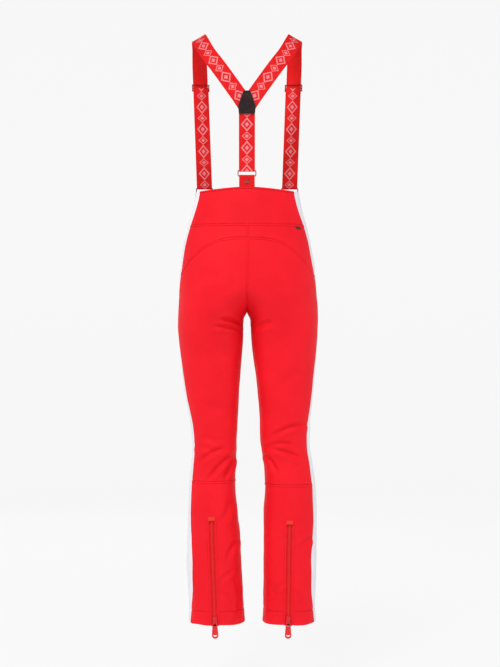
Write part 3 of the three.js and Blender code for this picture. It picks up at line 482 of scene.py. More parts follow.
def field_at(z, heights, table, u, low, high):
    """The angle and the distance across for one field's grid points at heights z."""
    width, shares = table
    row = np.interp(-z, -heights, np.arange(len(heights)))
    i = np.clip(row.astype(int), 0, len(heights) - 2)
    blend = (row - i)[..., None]
    ladder = shares[i] * (1 - blend) + shares[i + 1] * blend
    place = u * (shares.shape[1] - 1)
    k = np.clip(place.astype(int), 0, shares.shape[1] - 2)
    left, right = (np.take_along_axis(ladder, np.broadcast_to(n, z.shape)[..., None], 2)[..., 0]
                   for n in (k, k + 1))
    share = left + (right - left) * (place - k)
    return low(z) + (high(z) - low(z)) * share, u * np.interp(-z, -heights, width)


def lay_out(s, bounds, levels, coarse):
    """A panel's grid: angle, height, and the distances across, from its top and to its bottom.

    bounds are the lines between its columns of fields, and levels those between its rows. The
    heights follow the levels and the angles follow the heights, so both settle over a few rounds.
    """
    marks = [float(edge(np.array(math.pi), 0.0)) for edge in levels]
    heights = np.linspace(max(marks) + 10, min(marks) - 90, 96)
    tables = [even_steps(s, a, b, heights) for a, b in zip(bounds, bounds[1:])]
    us = drop_repeats([graded(width[len(heights) // 2], coarse) for width, _ in tables])
    ts = drop_repeats([graded(a - b, coarse) for a, b in zip(marks, marks[1:])])
    z = np.concatenate([marks[j] + t * (marks[j + 1] - marks[j]) for j, t in enumerate(ts)])
    z = np.repeat(z[:, None], sum(map(len, us)), 1)
    for _ in range(6):
        angle, across, start = [], [], 0
        for cols, *field in zip(slices_of(us), tables, us, bounds, bounds[1:]):
            turned, run = field_at(z[:, cols], heights, *field)
            angle.append(turned)
            across.append(start + run)
            start = across[-1][:, -1:]
        angle, across = np.concatenate(angle, 1), np.concatenate(across, 1)
        x = on_surface(s, angle, z)[..., 0]
        lines = [edge(angle, x) for edge in levels]
        z = np.concatenate([a[rows] + t[:, None] * (b[rows] - a[rows])
                            for a, b, t, rows in zip(lines, lines[1:], ts, slices_of(ts))])
    return angle, z, across, lines[0] - z, z - lines[-1], us, ts


def drop_repeats(parts):
    """Later fields leave out their first line, which the field before them already has."""
    return [p if i == 0 else p[1:] for i, p in enumerate(parts)]


def slices_of(parts):
    """Which grid lines belong to each field."""
    ends = np.cumsum([len(p) for p in parts])
    return [slice(end - len(p), end) for end, p in zip(ends, parts)]


def hole_mask(us, ts, hole):
    """Which cells are cloth, and the grid lines that bound the hole."""
    col_ends = np.cumsum([len(u) for u in us]) - 1
    row_ends = np.cumsum([len(t) for t in ts]) - 1
    mask = np.ones((row_ends[-1], col_ends[-1]), bool)
    if hole is None:
        return mask, None
    first, last, col = hole
    rows = slice(0 if first == 0 else row_ends[first - 1], row_ends[last])
    cols = slice(0 if col == 0 else col_ends[col - 1], col_ends[col])
    mask[rows, cols] = False
    return mask, (rows, cols)


def from_hole(across, z, lines):
    """The distance to a hole, measured across and up the cloth."""
    rows, cols = lines
    left, right = across[:, cols.start : cols.start + 1], across[:, cols.stop : cols.stop + 1]
    aside = np.maximum(np.maximum(left - across, across - right), 0)
    above = np.maximum(z - z[rows.start, cols.start], 0) if rows.start > 0 else 0
    below = np.maximum(z[rows.stop, cols.start] - z, 0) if rows.stop < len(z) - 1 else 0
    return np.hypot(aside, np.maximum(above, below))


def made_edge(rise, width, fade, groove, aside, soft):
    """How far the cloth stands at a distance from its edge: raised, with a groove for stitches."""
    return lambda d: rise * np.clip((width - d) / fade, 0, 1) - groove * bell(d - aside, soft)


plain_edge = lambda d: 0 * d
lapped = made_edge(0.9, 7.4, 1.4, 1.6, SEAM_ROW["aside"], 1.0)
rolled = made_edge(0.95, 5.2, 1.4, 0.9, RIM_ROW["aside"], 0.9)
zip_edge = made_edge(0.35, 7.5, 1.5, 0.5, ZIP_ROW["aside"], 0.8)


def panel_layers(s, bounds, levels, hole=None, edges=None, lift=0.0, thick=CLOTH, coarse=4.2,
                 hole_edge=zip_edge, relieved=None, runs_on=()):
    """A panel's outside and inside grids, its flat places and which of its cells are cloth.

    edges maps a side to how it's made, and a side in runs_on has no edge of its own.
    """
    angle, z, across, above, below, us, ts = lay_out(s, bounds, levels, coarse)
    width = across[:, -1:]
    sides = {"top": above, "bottom": below, "start": across, "end": width - across}
    edge = np.minimum.reduce([d for side, d in sides.items() if side not in runs_on])
    raised = lift + sum((edges or {}).get(side, plain_edge)(d) for side, d in sides.items())
    mask, lines = hole_mask(us, ts, hole)
    if lines:
        far = from_hole(across, z, lines)
        edge = np.minimum(edge, far)
        raised = raised + hole_edge(far)
    raised = raised + (relieved(z) if relieved else 0)
    inward = np.clip(1 - np.clip(edge, 0, None) / (thick / 2), 0, 1)
    fall = thick / 2 * (1 - np.sqrt(1 - inward**2))
    outside = skin(s, angle, z, raised - fall)
    inside = skin(s, angle, z, np.minimum(raised, lift) - thick + fall)
    return outside, inside, np.stack([s * (across - width), z], -1) * MM, mask


def cloth_piece(name, material, layers, turned):
    outside, inside, uv, mask = layers
    piece = grid_shell(f"{name}_cloth", outside, inside, uv, mask, [material], turned)
    declare_sheet(outside)
    return finish_piece(piece, "trousers", [name])


def cloth_panel(name, material, s, bounds, levels, **make):
    """One sewn panel of one side, as a closed sheet with rounded edges."""
    return cloth_piece(name, material, panel_layers(s, bounds, levels, **make), s > 0)


def panel_across(name, material, bounds_of, levels, **make):
    """One panel across the centre back, from each side's line to the middle."""
    halves = [panel_layers(s, bounds_of(s), levels, runs_on=["end"], **make) for s in BOTH]
    layers = [np.concatenate([a, b[:, -2::-1]], 1) for a, b in list(zip(*halves))[:3]]
    mask = np.concatenate([halves[0][3], halves[1][3][:, ::-1]], 1)
    return cloth_piece(name, material, [*layers, mask], True)


def rounded_box(size, bevel, segments=2):
    """A box about the origin with rounded edges, as vertices and faces."""
    mesh = bmesh.new()
    bmesh.ops.create_cube(mesh, size=1)
    bmesh.ops.scale(mesh, vec=size, verts=mesh.verts)
    bmesh.ops.bevel(mesh, geom=mesh.edges[:], offset=bevel, segments=segments, profile=0.5,
                    affect="EDGES")
    mesh.verts.index_update()
    verts = np.array([v.co[:] for v in mesh.verts])
    faces = [[v.index for v in face.verts] for face in mesh.faces]
    mesh.free()
    return verts, faces


def repeated(shape, places, axes):
    """Copies of a small shape, one at each place, turned to that place's three axes."""
    verts, faces = shape
    stood = np.einsum("vk,nkj->nvj", verts, axes) + places[:, None]
    copies = [[i + len(verts) * n for i in face] for n in range(len(places)) for face in faces]
    return stood.reshape(-1, 3), copies


def gather(shapes):
    """Several shapes as one."""
    verts, faces, count = [], [], 0
    for v, f in shapes:
        verts.append(v)
        faces += [[i + count for i in face] for face in f]
        count += len(v)
    return np.concatenate(verts), faces


def ring_faces(rings, sides, joined=False):
    """Quads between rings of points. The last ring joins the first, or else both are capped."""
    faces = [[i * sides + j, i * sides + (j + 1) % sides,
              (i + 1) % rings * sides + (j + 1) % sides, (i + 1) % rings * sides + j]
             for i in range(rings if joined else rings - 1) for j in range(sides)]
    if joined:
        return faces
    last = (rings - 1) * sides
    return faces + [list(range(sides))[::-1], [last + j for j in range(sides)]]


def lathe(outline, sides=40):
    """A shape turned about z from (radius, height) pairs. It is closed at both ends."""
    turns = np.arange(sides) * 2 * math.pi / sides
    verts = [(r * math.cos(a), r * math.sin(a), h) for r, h in outline for a in turns]
    return np.array(verts), ring_faces(len(outline), sides)


def tube(path, radius, closed, sides=14):
    """A round wire along a path, with flat ends unless it is closed."""
    path = np.asarray(path, float)
    both_ways = np.roll(path, -1, 0) - np.roll(path, 1, 0)
    run = unit(both_ways if closed else np.gradient(path, axis=0))
    normal = np.linalg.svd(path - path.mean(0), full_matrices=True)[2][2]
    side = unit(np.cross(run, normal))
    up = np.cross(side, run)
    turns = np.arange(sides) * 2 * math.pi / sides
    ring = side[:, None] * np.cos(turns)[:, None] + up[:, None] * np.sin(turns)[:, None]
    verts = (path[:, None] + radius * ring).reshape(-1, 3)
    return verts, ring_faces(len(path), sides, closed)


def moved(shape, by):
    return shape[0] + by, shape[1]


def placed(shape, origin, axes):
    return shape[0] @ np.asarray(axes) + origin, shape[1]


def solid(name, shape, material, body, nodes):
    piece = mesh_object(name, *shape, [material])
    repair = bmesh.new()
    repair.from_mesh(piece.data)
    bmesh.ops.recalc_face_normals(repair, faces=repair.faces)
    repair.to_mesh(piece.data)
    repair.free()
    piece.data.set_sharp_from_angle(angle=math.radians(38))
    return finish_piece(piece, body, nodes)


def softened(node, material, body, bevel):
    """A hard CAD piece again, with its edges rounded."""
    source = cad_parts[node].data
    mesh = bmesh.new()
    mesh.from_mesh(source)
    bmesh.ops.remove_doubles(mesh, verts=mesh.verts, dist=1e-6)
    bmesh.ops.dissolve_limit(mesh, angle_limit=math.radians(2), verts=mesh.verts,
                             edges=mesh.edges)
    sharp = [e for e in mesh.edges if e.is_manifold and e.calc_face_angle() > math.radians(28)]
    bmesh.ops.bevel(mesh, geom=sharp, offset=bevel * MM, segments=2, profile=0.6,
                    affect="EDGES", clamp_overlap=True)
    out = bpy.data.meshes.new(f"{node}_rounded")
    mesh.to_mesh(out)
    mesh.free()
    out.materials.append(material)
    out.shade_smooth()
    out.set_sharp_from_angle(angle=math.radians(40))
    return finish_piece(in_scene(f"{node}_rounded", out), body, [node])


# ---------- thread ----------
STITCH = {"length": 2.5, "pitch": 3.3, "radius": 0.31}
seam_threads = {"trousers": [], "suspenders": []}


def stitch_shape():
    half, radius = STITCH["length"] / 2, STITCH["radius"]
    swell = [(-half, 0.25), (-0.75 * half, 0.85), (0, 1.0), (0.75 * half, 0.85), (half, 0.25)]
    verts, faces = lathe([(radius * r, x) for x, r in swell], sides=5)
    return verts[:, [2, 0, 1]], [face[::-1] for face in faces]


def sew(path, normals, body="trousers"):
    """A row of stitches along a path on the cloth."""
    run = run_along(path)
    marks = np.arange(STITCH["pitch"] / 2, run[-1] - STITCH["pitch"] / 2, STITCH["pitch"])
    at = lambda values, m: np.stack([np.interp(m, run, values[:, k]) for k in range(3)], -1)
    places, up = at(path, marks), unit(at(normals, marks))
    along = unit(at(path, marks + 0.8) - at(path, marks - 0.8))
    aside = unit(np.cross(up, along))
    seam_threads[body].append((places + 0.12 * up, np.stack([along, aside, up], 1)))


def sew_level(s, low, high, z_of, lift):
    """Stitches along a line at a height that z_of(angle, x) gives."""
    z = np.full(160, float(z_of(np.array(math.pi), 0.0)))
    for _ in range(5):
        angle = np.linspace(low(z)[0], high(z)[-1], len(z))
        z = z_of(angle, on_surface(s, angle, z)[..., 0])
    sew(skin(s, angle, z, lift), normal_at(s, angle, z))


def sew_down(s, line, top, low, lift):
    """Stitches down a line between two heights."""
    z = np.linspace(top, low, 200)
    angle = line(z)
    sew(skin(s, angle, z, lift), normal_at(s, angle, z))


def make_threads(materials):
    for body, rows in seam_threads.items():
        places, axes = (np.concatenate(parts) for parts in zip(*rows))
        stitches = repeated(stitch_shape(), places, axes)
        piece = mesh_object(f"{body}_stitching", *stitches, [materials[body]])
        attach(piece, body)


# ---------- materials ----------
class Look:
    """One material's node tree, with short ways to write it."""

    def __init__(self, name, slot=None):
        self.material = bpy.data.materials.new(name)
        self.material.use_nodes = True
        self.tree = self.material.node_tree
        self.tree.nodes.clear()
        self.shader = self.add("ShaderNodeBsdfPrincipled")
        output = self.add("ShaderNodeOutputMaterial")
        self.tree.links.new(self.shader.outputs[0], output.inputs[0])

    def add(self, kind, **settings):
        node = self.tree.nodes.new(kind)
        for key, value in settings.items():
            setattr(node, key, value)
        return node

    def put(self, socket, value):
        """Feeds a socket from another one, or with a number or an RGB colour."""
        if isinstance(value, bpy.types.NodeSocket):
            self.tree.links.new(value, socket)
        else:
            socket.default_value = (*value, 1) if isinstance(value, tuple) else value

    def node(self, kind, inputs, output=0, **settings):
        """One output of a new node that has these inputs, by name or number."""
        node = self.add(kind, **settings)
        for key, value in inputs.items():
            self.put(node.inputs[key], value)
        return node.outputs[output]

    def finish(self, **values):
        """Sets the surface's values and gives the material."""
        for key, value in values.items():
            self.put(self.shader.inputs[key.replace("_", " ")], value)
        return self.material

    def math(self, operation, a, b=0.0):
        return self.node("ShaderNodeMath", {0: a, 1: b}, operation=operation)

    def times(self, a, b):
        return self.math("MULTIPLY", a, b)

    def plus(self, a, b, share=1.0):
        """One value and a share of another."""
        return self.math("ADD", a, self.times(b, share))

    def distance(self, a, b=0.0):
        return self.math("ABSOLUTE", self.math("SUBTRACT", a, b))

    def place(self):
        return self.node("ShaderNodeTexCoord", {}, "Object")

    def split(self, vector):
        return self.node("ShaderNodeSeparateXYZ", {0: vector}, slice(None))

    def uv(self):
        return self.split(self.node("ShaderNodeUVMap", {}, uv_map="cloth"))[:2]

    def noise(self, scale, detail=3.0, roughness=0.55):
        inputs = {"Vector": self.place(), "Scale": scale, "Detail": detail, "Roughness": roughness}
        return self.node("ShaderNodeTexNoise", inputs, "Fac")

    def ramp(self, value, low, high):
        return self.node("ShaderNodeMapRange", {0: value, 1: low, 2: high})

    def mix(self, share, a, b):
        return self.node("ShaderNodeMix", {0: share, 6: a, 7: b}, 2, data_type="RGBA")

    def cloud(self, scale, dark, light, detail=3.0, spread=0.2):
        """A tone that drifts between two in soft patches."""
        share = self.ramp(self.noise(scale, detail), 0.5 - spread, 0.5 + spread)
        return self.mix(share, dark, light)

    def bump(self, height, strength, distance):
        inputs = {"Strength": strength, "Distance": distance, "Height": height}
        return self.node("ShaderNodeBump", inputs, "Normal")

    def wave(self, value, pitch):
        """A smooth wave from 0 to 1 that repeats at this pitch."""
        sine = self.math("SINE", self.times(value, 2 * math.pi / pitch))
        return self.math("ADD", self.times(sine, 0.5), 0.5)


def softshell(name, slot, light, dark):
    """Stretch softshell: a fine steep twill with a soft bloom, a little uneven in colour."""
    look = Look(name, slot)
    u, v = look.uv()
    twill = look.wave(look.plus(u, v, 0.62), 0.00105)
    across = look.wave(look.plus(u, v, -1.7), 0.0016)
    fuzz = look.noise(900.0, 2.0)
    tone = look.mix(look.times(twill, 0.12), look.cloud(9.0, dark, light, 4.0), dark)
    height = look.plus(look.plus(twill, across, 0.4), fuzz, 0.7)
    return look.finish(
        Base_Color=tone, Roughness=look.ramp(fuzz, -1.8, 2.0), Specular_IOR_Level=0.12,
        Normal=look.bump(height, 0.18, 0.0002), Sheen_Weight=0.05, Sheen_Roughness=0.45,
        Sheen_Tint=light)


def webbing(name, light, dark, slot="webbing", figure=None):
    """Ribbed elastic webbing. With a figure colour it carries a woven row of lozenges."""
    look = Look(name, slot)
    u, v = look.uv()
    ribs, rows = look.wave(v, 0.0013), look.wave(u, 0.0022)
    fuzz = look.noise(700.0, 2.0)
    tone = look.cloud(26.0, dark, light, spread=0.25)
    height = look.plus(look.plus(ribs, rows, 0.7), fuzz, 0.5)
    if figure:
        drawn = lozenges(look, u, v)
        tone = look.mix(look.times(drawn, 0.88), tone, figure)
        height = look.plus(height, drawn, 0.8)
    tone = look.mix(look.times(ribs, 0.18), tone, dark)
    return look.finish(
        Base_Color=tone, Roughness=look.ramp(fuzz, -2.2, 1.8), Specular_IOR_Level=0.14,
        Normal=look.bump(height, 0.45, 0.00022), Sheen_Weight=0.05, Sheen_Roughness=0.5,
        Sheen_Tint=light)


# The woven figure, in metres: half-widths and half-lengths of its lozenges, and its repeat.
MOTIF = {"period": 0.058, "large": (0.0150, 0.0176), "small": (0.0142, 0.0125), "half": 0.0150}


def lozenges(look, u, v):
    """A ringed lozenge, a smaller one, and so on along the webbing, as a mask."""
    turn = look.math("FRACT", look.math("DIVIDE", v, MOTIF["period"]))
    along = look.times(look.distance(turn, 0.5), MOTIF["period"])
    beyond = look.math("SUBTRACT", MOTIF["period"] / 2, along)
    across = look.distance(u)

    def lozenge(run, half_wide, half_long):
        wide = look.math("DIVIDE", across, half_wide)
        return look.plus(wide, look.math("DIVIDE", run, half_long))

    def within(value, limit, soft):
        return look.ramp(value, limit + soft, limit - soft)

    def outline(value, limit, half):
        return within(look.distance(value, limit), half, 0.04)

    large, small = lozenge(along, *MOTIF["large"]), lozenge(beyond, *MOTIF["small"])
    shapes = [outline(large, 0.86, 0.14), within(large, 0.36, 0.06), outline(small, 0.80, 0.10),
              within(small, 0.40, 0.06)]
    figure = shapes[0]
    for shape in shapes[1:]:
        figure = look.math("MAXIMUM", figure, shape)
    return look.times(figure, within(across, MOTIF["half"], 0.0004))


def lacquer(name, tone, worn, gloss=1.5):
    """Glossy coloured lacquer over metal, with fine handling marks and worn high spots."""
    look = Look(name, "red_metal")
    marks = look.noise(420.0, 5.0, 0.7)
    wear = look.ramp(look.noise(70.0, 4.0), 0.58, 0.74)
    return look.finish(
        Base_Color=look.mix(look.times(wear, 0.12), tone, worn), Specular_IOR_Level=0.15,
        Roughness=look.ramp(marks, -0.20, 2.6), Coat_Weight=0.7, Coat_IOR=gloss,
        Coat_Roughness=0.07, Normal=look.bump(marks, 0.05, 0.0001))


def leather(name, slot, light, dark):
    """Grained leather: small raised cells and a fine fuzz."""
    look = Look(name, slot)
    cells = look.node("ShaderNodeTexVoronoi", {"Vector": look.place(), "Scale": 900.0}, "Distance",
                      feature="DISTANCE_TO_EDGE")
    grain = look.plus(look.ramp(cells, 0.0, 0.25), look.noise(1500.0, 2.0), 0.4)
    return look.finish(
        Base_Color=look.cloud(70.0, dark, light), Roughness=look.ramp(grain, 2.2, -0.8),
        Normal=look.bump(grain, 0.5, 0.00025), Specular_IOR_Level=0.2)


def knit(name, slot, light, dark):
    look = Look(name, slot)
    fuzz = look.noise(1100.0, 2.0)
    return look.finish(
        Base_Color=look.cloud(110.0, dark, light), Roughness=look.ramp(fuzz, -3.0, 1.2),
        Sheen_Weight=0.15, Normal=look.bump(fuzz, 0.4, 0.0003))


def moulded(name, slot, light, dark, rough, scale=300.0):
    """Moulded plastic, or thread with a finer scale."""
    look = Look(name, slot)
    speck = look.noise(scale, 4.0)
    return look.finish(
        Base_Color=look.mix(speck, dark, light), Roughness=look.ramp(speck, -rough, 2.2 - rough),
        Normal=look.bump(speck, 0.12, 0.0001), Specular_IOR_Level=0.25)


shell_red = softshell("softshell_red", "red_shell", (0.90, 0.010, 0.022), (0.80, 0.007, 0.016))
shell_white = softshell("softshell_white", "white_shell", (0.87, 0.86, 0.90), (0.80, 0.79, 0.85))
WEB_TONES = (0.82, 0.012, 0.012), (0.68, 0.007, 0.008)
web_plain = webbing("webbing_plain", *WEB_TONES)
web_motif = webbing("webbing_motif", *WEB_TONES, figure=(0.84, 0.29, 0.31))
# The zip tape's own red, made a little lighter than the shell's: painted light against the shade of
# the recess it lies in.
zip_tape = webbing("zip_tape_weave_painted_light", (0.95, 0.014, 0.022), (0.86, 0.010, 0.016), "zip_tape")
metal_red = lacquer("lacquered_red", (0.74, 0.010, 0.016), (0.85, 0.22, 0.20))
metal_cap = lacquer("lacquered_cap", (0.38, 0.002, 0.004), (0.5, 0.04, 0.04), 1.9)
metal_wire = lacquer("lacquered_wire", (0.31, 0.004, 0.007), (0.42, 0.05, 0.04))
hide = leather("yoke_hide", "leather", (0.026, 0.008, 0.010), (0.012, 0.003, 0.004))
lining = knit("lining_knit", "black_lining", (0.030, 0.027, 0.030), (0.014, 0.012, 0.014))
black_edge = knit("black_binding", "black_trim", (0.022, 0.020, 0.022), (0.010, 0.009, 0.010))
teeth_red = moulded("zip_teeth", "zip_tape", (0.86, 0.025, 0.019), (0.70, 0.020, 0.014), 0.5)
tab_red = moulded("zip_tab", "zip_garage", (0.86, 0.040, 0.022), (0.78, 0.028, 0.016), 0.4)
dark_thread = moulded("dark_thread", "black_trim", (0.030, 0.020, 0.020), (0.014, 0.010, 0.010),
                      0.1, 900.0)
# The seam thread is much darker than the cloth: the thread's own red with painted shade of the
# stitch grooves it lies in.
thread = moulded("red_thread_painted_groove_shade", "red_shell", (0.33, 0.004, 0.006), (0.25, 0.002, 0.004), 0.1, 900.0)


# ---------- trousers ----------
def centre(s, is_front):
    """The middle seam. Towards the crotch it eases into the inseam, inside the cloth."""
    seam = line_at(s, 0.0, is_front)
    inseam = 0 if is_front else 2 * math.pi

    def line(z):
        t = np.clip((CROTCH_EASE - z) / (CROTCH_EASE - CROTCH), 0, 1)
        return seam(z) + (inseam - seam(z)) * smooth(t)

    return line


def back_half(s):
    return [stripe_back, centre(s, False)]


def front_half(s):
    return [centre(s, True), stripe_front]


def above(edge, by):
    """The same line across the cloth, raised."""
    return lambda angle, x: edge(angle, x) + by


def make_waistband():
    rim = {"top": rolled, "bottom": lapped}
    rows = [waist_edge(), level(WAIST_SEAM)]
    panel_across("waistband_back", shell_red, back_half, rows, edges=rim)
    panel_across("waistband_facing", lining,
                 lambda s: [centre(s, True), line_at(s, BACK_TAB_ROOM["half"], False),
                            centre(s, False)],
                 [waist_edge(4), level(BACK_TAB_ROOM["low"]), level(WAIST_SEAM + 12)],
                 hole=(0, 0, 1), hole_edge=plain_edge, coarse=7, **FACING)
    for s in BOTH:
        fore = [line_at(s, s * OVERLAP, True), stripe_front]
        cloth_panel(f"waistband_front_{WORD[s]}", shell_red, s, fore, rows, edges=rim)
        for line, lift in ((level(WAIST_SEAM + SEAM_ROW["aside"]), SEAM_ROW["lift"]),
                           (waist_edge(RIM_ROW["aside"]), RIM_ROW["lift"])):
            for span in (back_half(s), fore):
                sew_level(s, *span, line, lift)


def stripe_notch(z):
    return -1.3 * bell(z - STRIPE_SEAM, 1.6) + 0.4 * bell(z - STRIPE_SEAM - 5, 3)


def make_trunk(s):
    """From the waistband's seam to the knee's, and the side stripe down to the hem."""
    word = WORD[s]
    waist, knee = level(WAIST_SEAM), level(KNEE_SEAM[s])
    rear = {"bottom": lapped, "end": lapped if s == RIGHT else plain_edge}
    cloth_panel(f"{word}_back_yoke", shell_red, s, back_half(s), [waist, yoke_seam], edges=rear)
    cloth_panel(f"{word}_seat_panel", shell_red, s, back_half(s), [yoke_seam, knee], edges=rear,
                coarse=3.2)
    fly_edge = line_at(s, lambda z: ZIP_GAP + np.where(z < CROTCH, inner_of[s](z), 0), True)
    cloth_panel(f"{word}_front_panel", shell_red, s, [centre(s, True), fly_edge, stripe_front],
                [waist, level(FLY_LOW), knee], edges={"bottom": lapped}, hole=(0, 0, 0))
    cloth_panel(f"{word}_side_stripe", shell_white, s, [stripe_front, stripe_back],
                [waist_edge(), level(HEM)], edges={"top": rolled}, relieved=stripe_notch)
    for span, seam in ((back_half(s), yoke_seam), (back_half(s), knee), (front_half(s), knee)):
        sew_level(s, *span, above(seam, SEAM_ROW["aside"]), SEAM_ROW["lift"])


def make_lower_leg(s):
    """From the knee's seam to the hem, with the hem zip."""
    knee, hem_stitch, hem = level(KNEE_SEAM[s]), level(HEM + HEM_DEPTH), level(HEM)
    zip_top = HEM_ZIP[s]["top"]
    bounds = [stripe_back, beside_zip(s, ZIP_GAP), beside_zip(s, -ZIP_GAP), centre(s, False)]
    cloth_panel(f"{WORD[s]}_calf_panel", shell_red, s, bounds,
                [knee, level(zip_top), hem_stitch, hem], hole=(1, 2, 1), coarse=3.8)
    cloth_panel(f"{WORD[s]}_shin_panel", shell_red, s, front_half(s), [knee, hem_stitch, hem])
    make_hem_layers(s)
    make_hem_zip(s)
    beside = ZIP_GAP + ZIP_ROW["aside"]
    for aside in (beside, -beside):
        sew_down(s, beside_zip(s, aside), zip_top - 4, HEM + 3, ZIP_ROW["lift"])
    for span in ((stripe_back, beside_zip(s, ZIP_GAP + 1)),
                 (beside_zip(s, -ZIP_GAP - 1), centre(s, False)), front_half(s)):
        sew_level(s, *span, hem_stitch, RIM_ROW["lift"])


def make_hem_layers(s):
    """Behind the cloth: the hem's facing, the zip's tape and the guard under it."""
    at = HEM_ZIP[s]
    strip = lambda half: [beside_zip(s, half), beside_zip(s, -half)]
    round_leg = [lambda z: beside_zip(s, -HEM_OPEN)(z) - 2 * math.pi, beside_zip(s, HEM_OPEN)]
    rising = lambda angle, x: HEM - 2.5 + 7 * np.clip((np.abs(s * x - at["low_x"]) - 8) / 10, 0, 1)
    layers = (
        ("hem_facing", lining, round_leg, HEM + 30, level(HEM + 0.5), {**FACING, "coarse": 6}),
        ("hem_zip_tape", zip_tape, strip(TAPE_HALF), at["top"] + 6, level(HEM + 2),
         {"lift": -CLOTH - TAPE["behind"], "thick": TAPE["thick"]}),
        ("zip_guard", lining, strip(GUARD_HALF), at["top"] + 14, rising,
         {**FACING, "lift": -CLOTH - 2.9, "coarse": 6}),
    )
    for name, material, bounds, top, low, make in layers:
        cloth_panel(f"{WORD[s]}_{name}", material, s, bounds, [level(top), low], **make)


def zip_frame(low, high, outward):
    """A zip's lower end, its axes as rows (across, up, out) and its length."""
    up = unit(high - low)
    across = unit(np.cross(up, outward))
    return low, np.stack([across, up, np.cross(across, up)]), float(np.linalg.norm(high - low))


def make_teeth(name, origin, axes, length):
    """Moulded teeth in two rows that mesh, with a stop at the top."""
    pitch, depth = TOOTH["pitch"], TOOTH["high"] - TOOTH["low"]
    middle = TOOTH["low"] + depth / 2
    tooth = rounded_box((TOOTH["wide"], 0.62 * pitch, depth), 0.28)
    count = int((length - TOOTH["start"] - TOOTH["end"]) / pitch)
    rows = []
    for side, late in ((1, 0.5), (-1, 0)):
        y = TOOTH["start"] + 0.8 + pitch * (np.arange(count) + late)
        spots = np.stack([side * TOOTH["aside"] + 0 * y, y, 0 * y + middle], -1)
        rows.append(repeated(tooth, spots, np.eye(3)[None]))
    stop = rounded_box((ZIP_STOP["wide"], ZIP_STOP["tall"], depth), 0.4)
    rows.append(moved(stop, (0, length - ZIP_STOP["below_top"], middle)))
    solid(f"{name}_row", placed(gather(rows), origin, axes), teeth_red, "trousers", [name])


def make_slider(place, pull_bevel):
    """A zip's slider and its pull, each on its own body."""
    softened(f"{place}_zip_slider", metal_red, f"{place}_slider", 0.3)
    softened(f"{place}_zip_pull", metal_red, f"{place}_pull", pull_bevel)


def make_hem_zip(s):
    word, at = WORD[s], HEM_ZIP[s]
    low, high = point_at(s, at["low_x"], HEM, False), point_at(s, at["top_x"], at["top"], False)
    origin, axes, length = zip_frame(low, high, (0, 1, 0))
    make_teeth(f"{word}_hem_zip_teeth", origin, axes, length)
    make_slider(f"{word}_hem", 0.3)
    wide, tall, thick = ZIP_TAB["size"]
    up = length - ZIP_TAB["below_top"] + tall / 2
    tab = moved(rounded_box((wide, tall, thick), 0.7, 3), (0, up, ZIP_TAB["stand"] + thick / 2))
    solid(f"{word}_zip_garage", placed(tab, origin, axes), tab_red, "trousers",
          [f"{word}_hem_zip_tab"])


def make_fly():
    low, high = (np.array([0, -front_of(z), z]) for z in (FLY_LOW, FLY_TOP))
    origin, axes, length = zip_frame(low, high, (0, -1, 0))
    length += 1
    layers = (("fly_zip_tape", TAPE_HALF, FLY_LAYERS["tape"], TAPE["thick"], zip_tape),
              ("fly_guard", FLY_LAYERS["guard_half"], FLY_LAYERS["guard"],
               FLY_LAYERS["guard_thick"], shell_red))
    for name, half, behind, thick, material in layers:
        strip = rounded_box((2 * half, length, thick), 0.35)
        strip = placed(moved(strip, (0, length / 2, -behind - thick / 2)), origin, axes)
        piece = mesh_object(f"{name}_cloth", *strip, [material], strip[0][:, [0, 2]] * MM)
        finish_piece(piece, "trousers", [name])
    make_teeth("fly_zip_teeth", *zip_frame(high, low, (0, -1, 0)))
    make_slider("fly", 0.25)
    for s in BOTH:
        line = line_at(s, ZIP_GAP + ZIP_ROW["aside"], True)
        sew_down(s, line, FLY_TOP - 2, FLY_LOW, ZIP_ROW["lift"])


def make_tag():
    at = SIDE_TAG
    lean = lambda z: (at["top"] - z) * at["slant"]
    bounds = [line_at(RIGHT, lambda z, x=x: x + lean(z), False) for x in (at["far"], at["near"])]
    cloth_panel("side_tag", black_edge, RIGHT, bounds, [level(at["top"]), level(at["low"])],
                lift=1.5, thick=1.0, coarse=3)


# ---------- suspenders ----------
def spline(points, per_segment):
    """A centripetal Catmull-Rom curve, as places and the station number of each place."""
    points = np.asarray(points, float)
    extended = np.concatenate([[2 * points[0] - points[1]], points, [2 * points[-1] - points[-2]]])
    places, stations = [], []
    for i in range(len(points) - 1):
        p0, p1, p2, p3 = extended[i : i + 4]
        d0, d1, d2 = (max(np.linalg.norm(b - a) ** 0.5, 1e-4) for a, b in
                      ((p0, p1), (p1, p2), (p2, p3)))
        m1 = d1 * ((p1 - p0) / d0 - (p2 - p0) / (d0 + d1) + (p2 - p1) / d1)
        m2 = d1 * ((p2 - p1) / d1 - (p3 - p1) / (d1 + d2) + (p3 - p2) / d2)
        count = max(3, int(np.linalg.norm(p2 - p1) / per_segment))
        t = np.arange(count)[:, None] / count
        places.append(hermite(t, p1, p2, m1, m2))
        stations.append(i + t[:, 0])
    numbers = np.append(np.concatenate(stations), len(points) - 1)
    return np.concatenate([*places, points[-1:]]), numbers


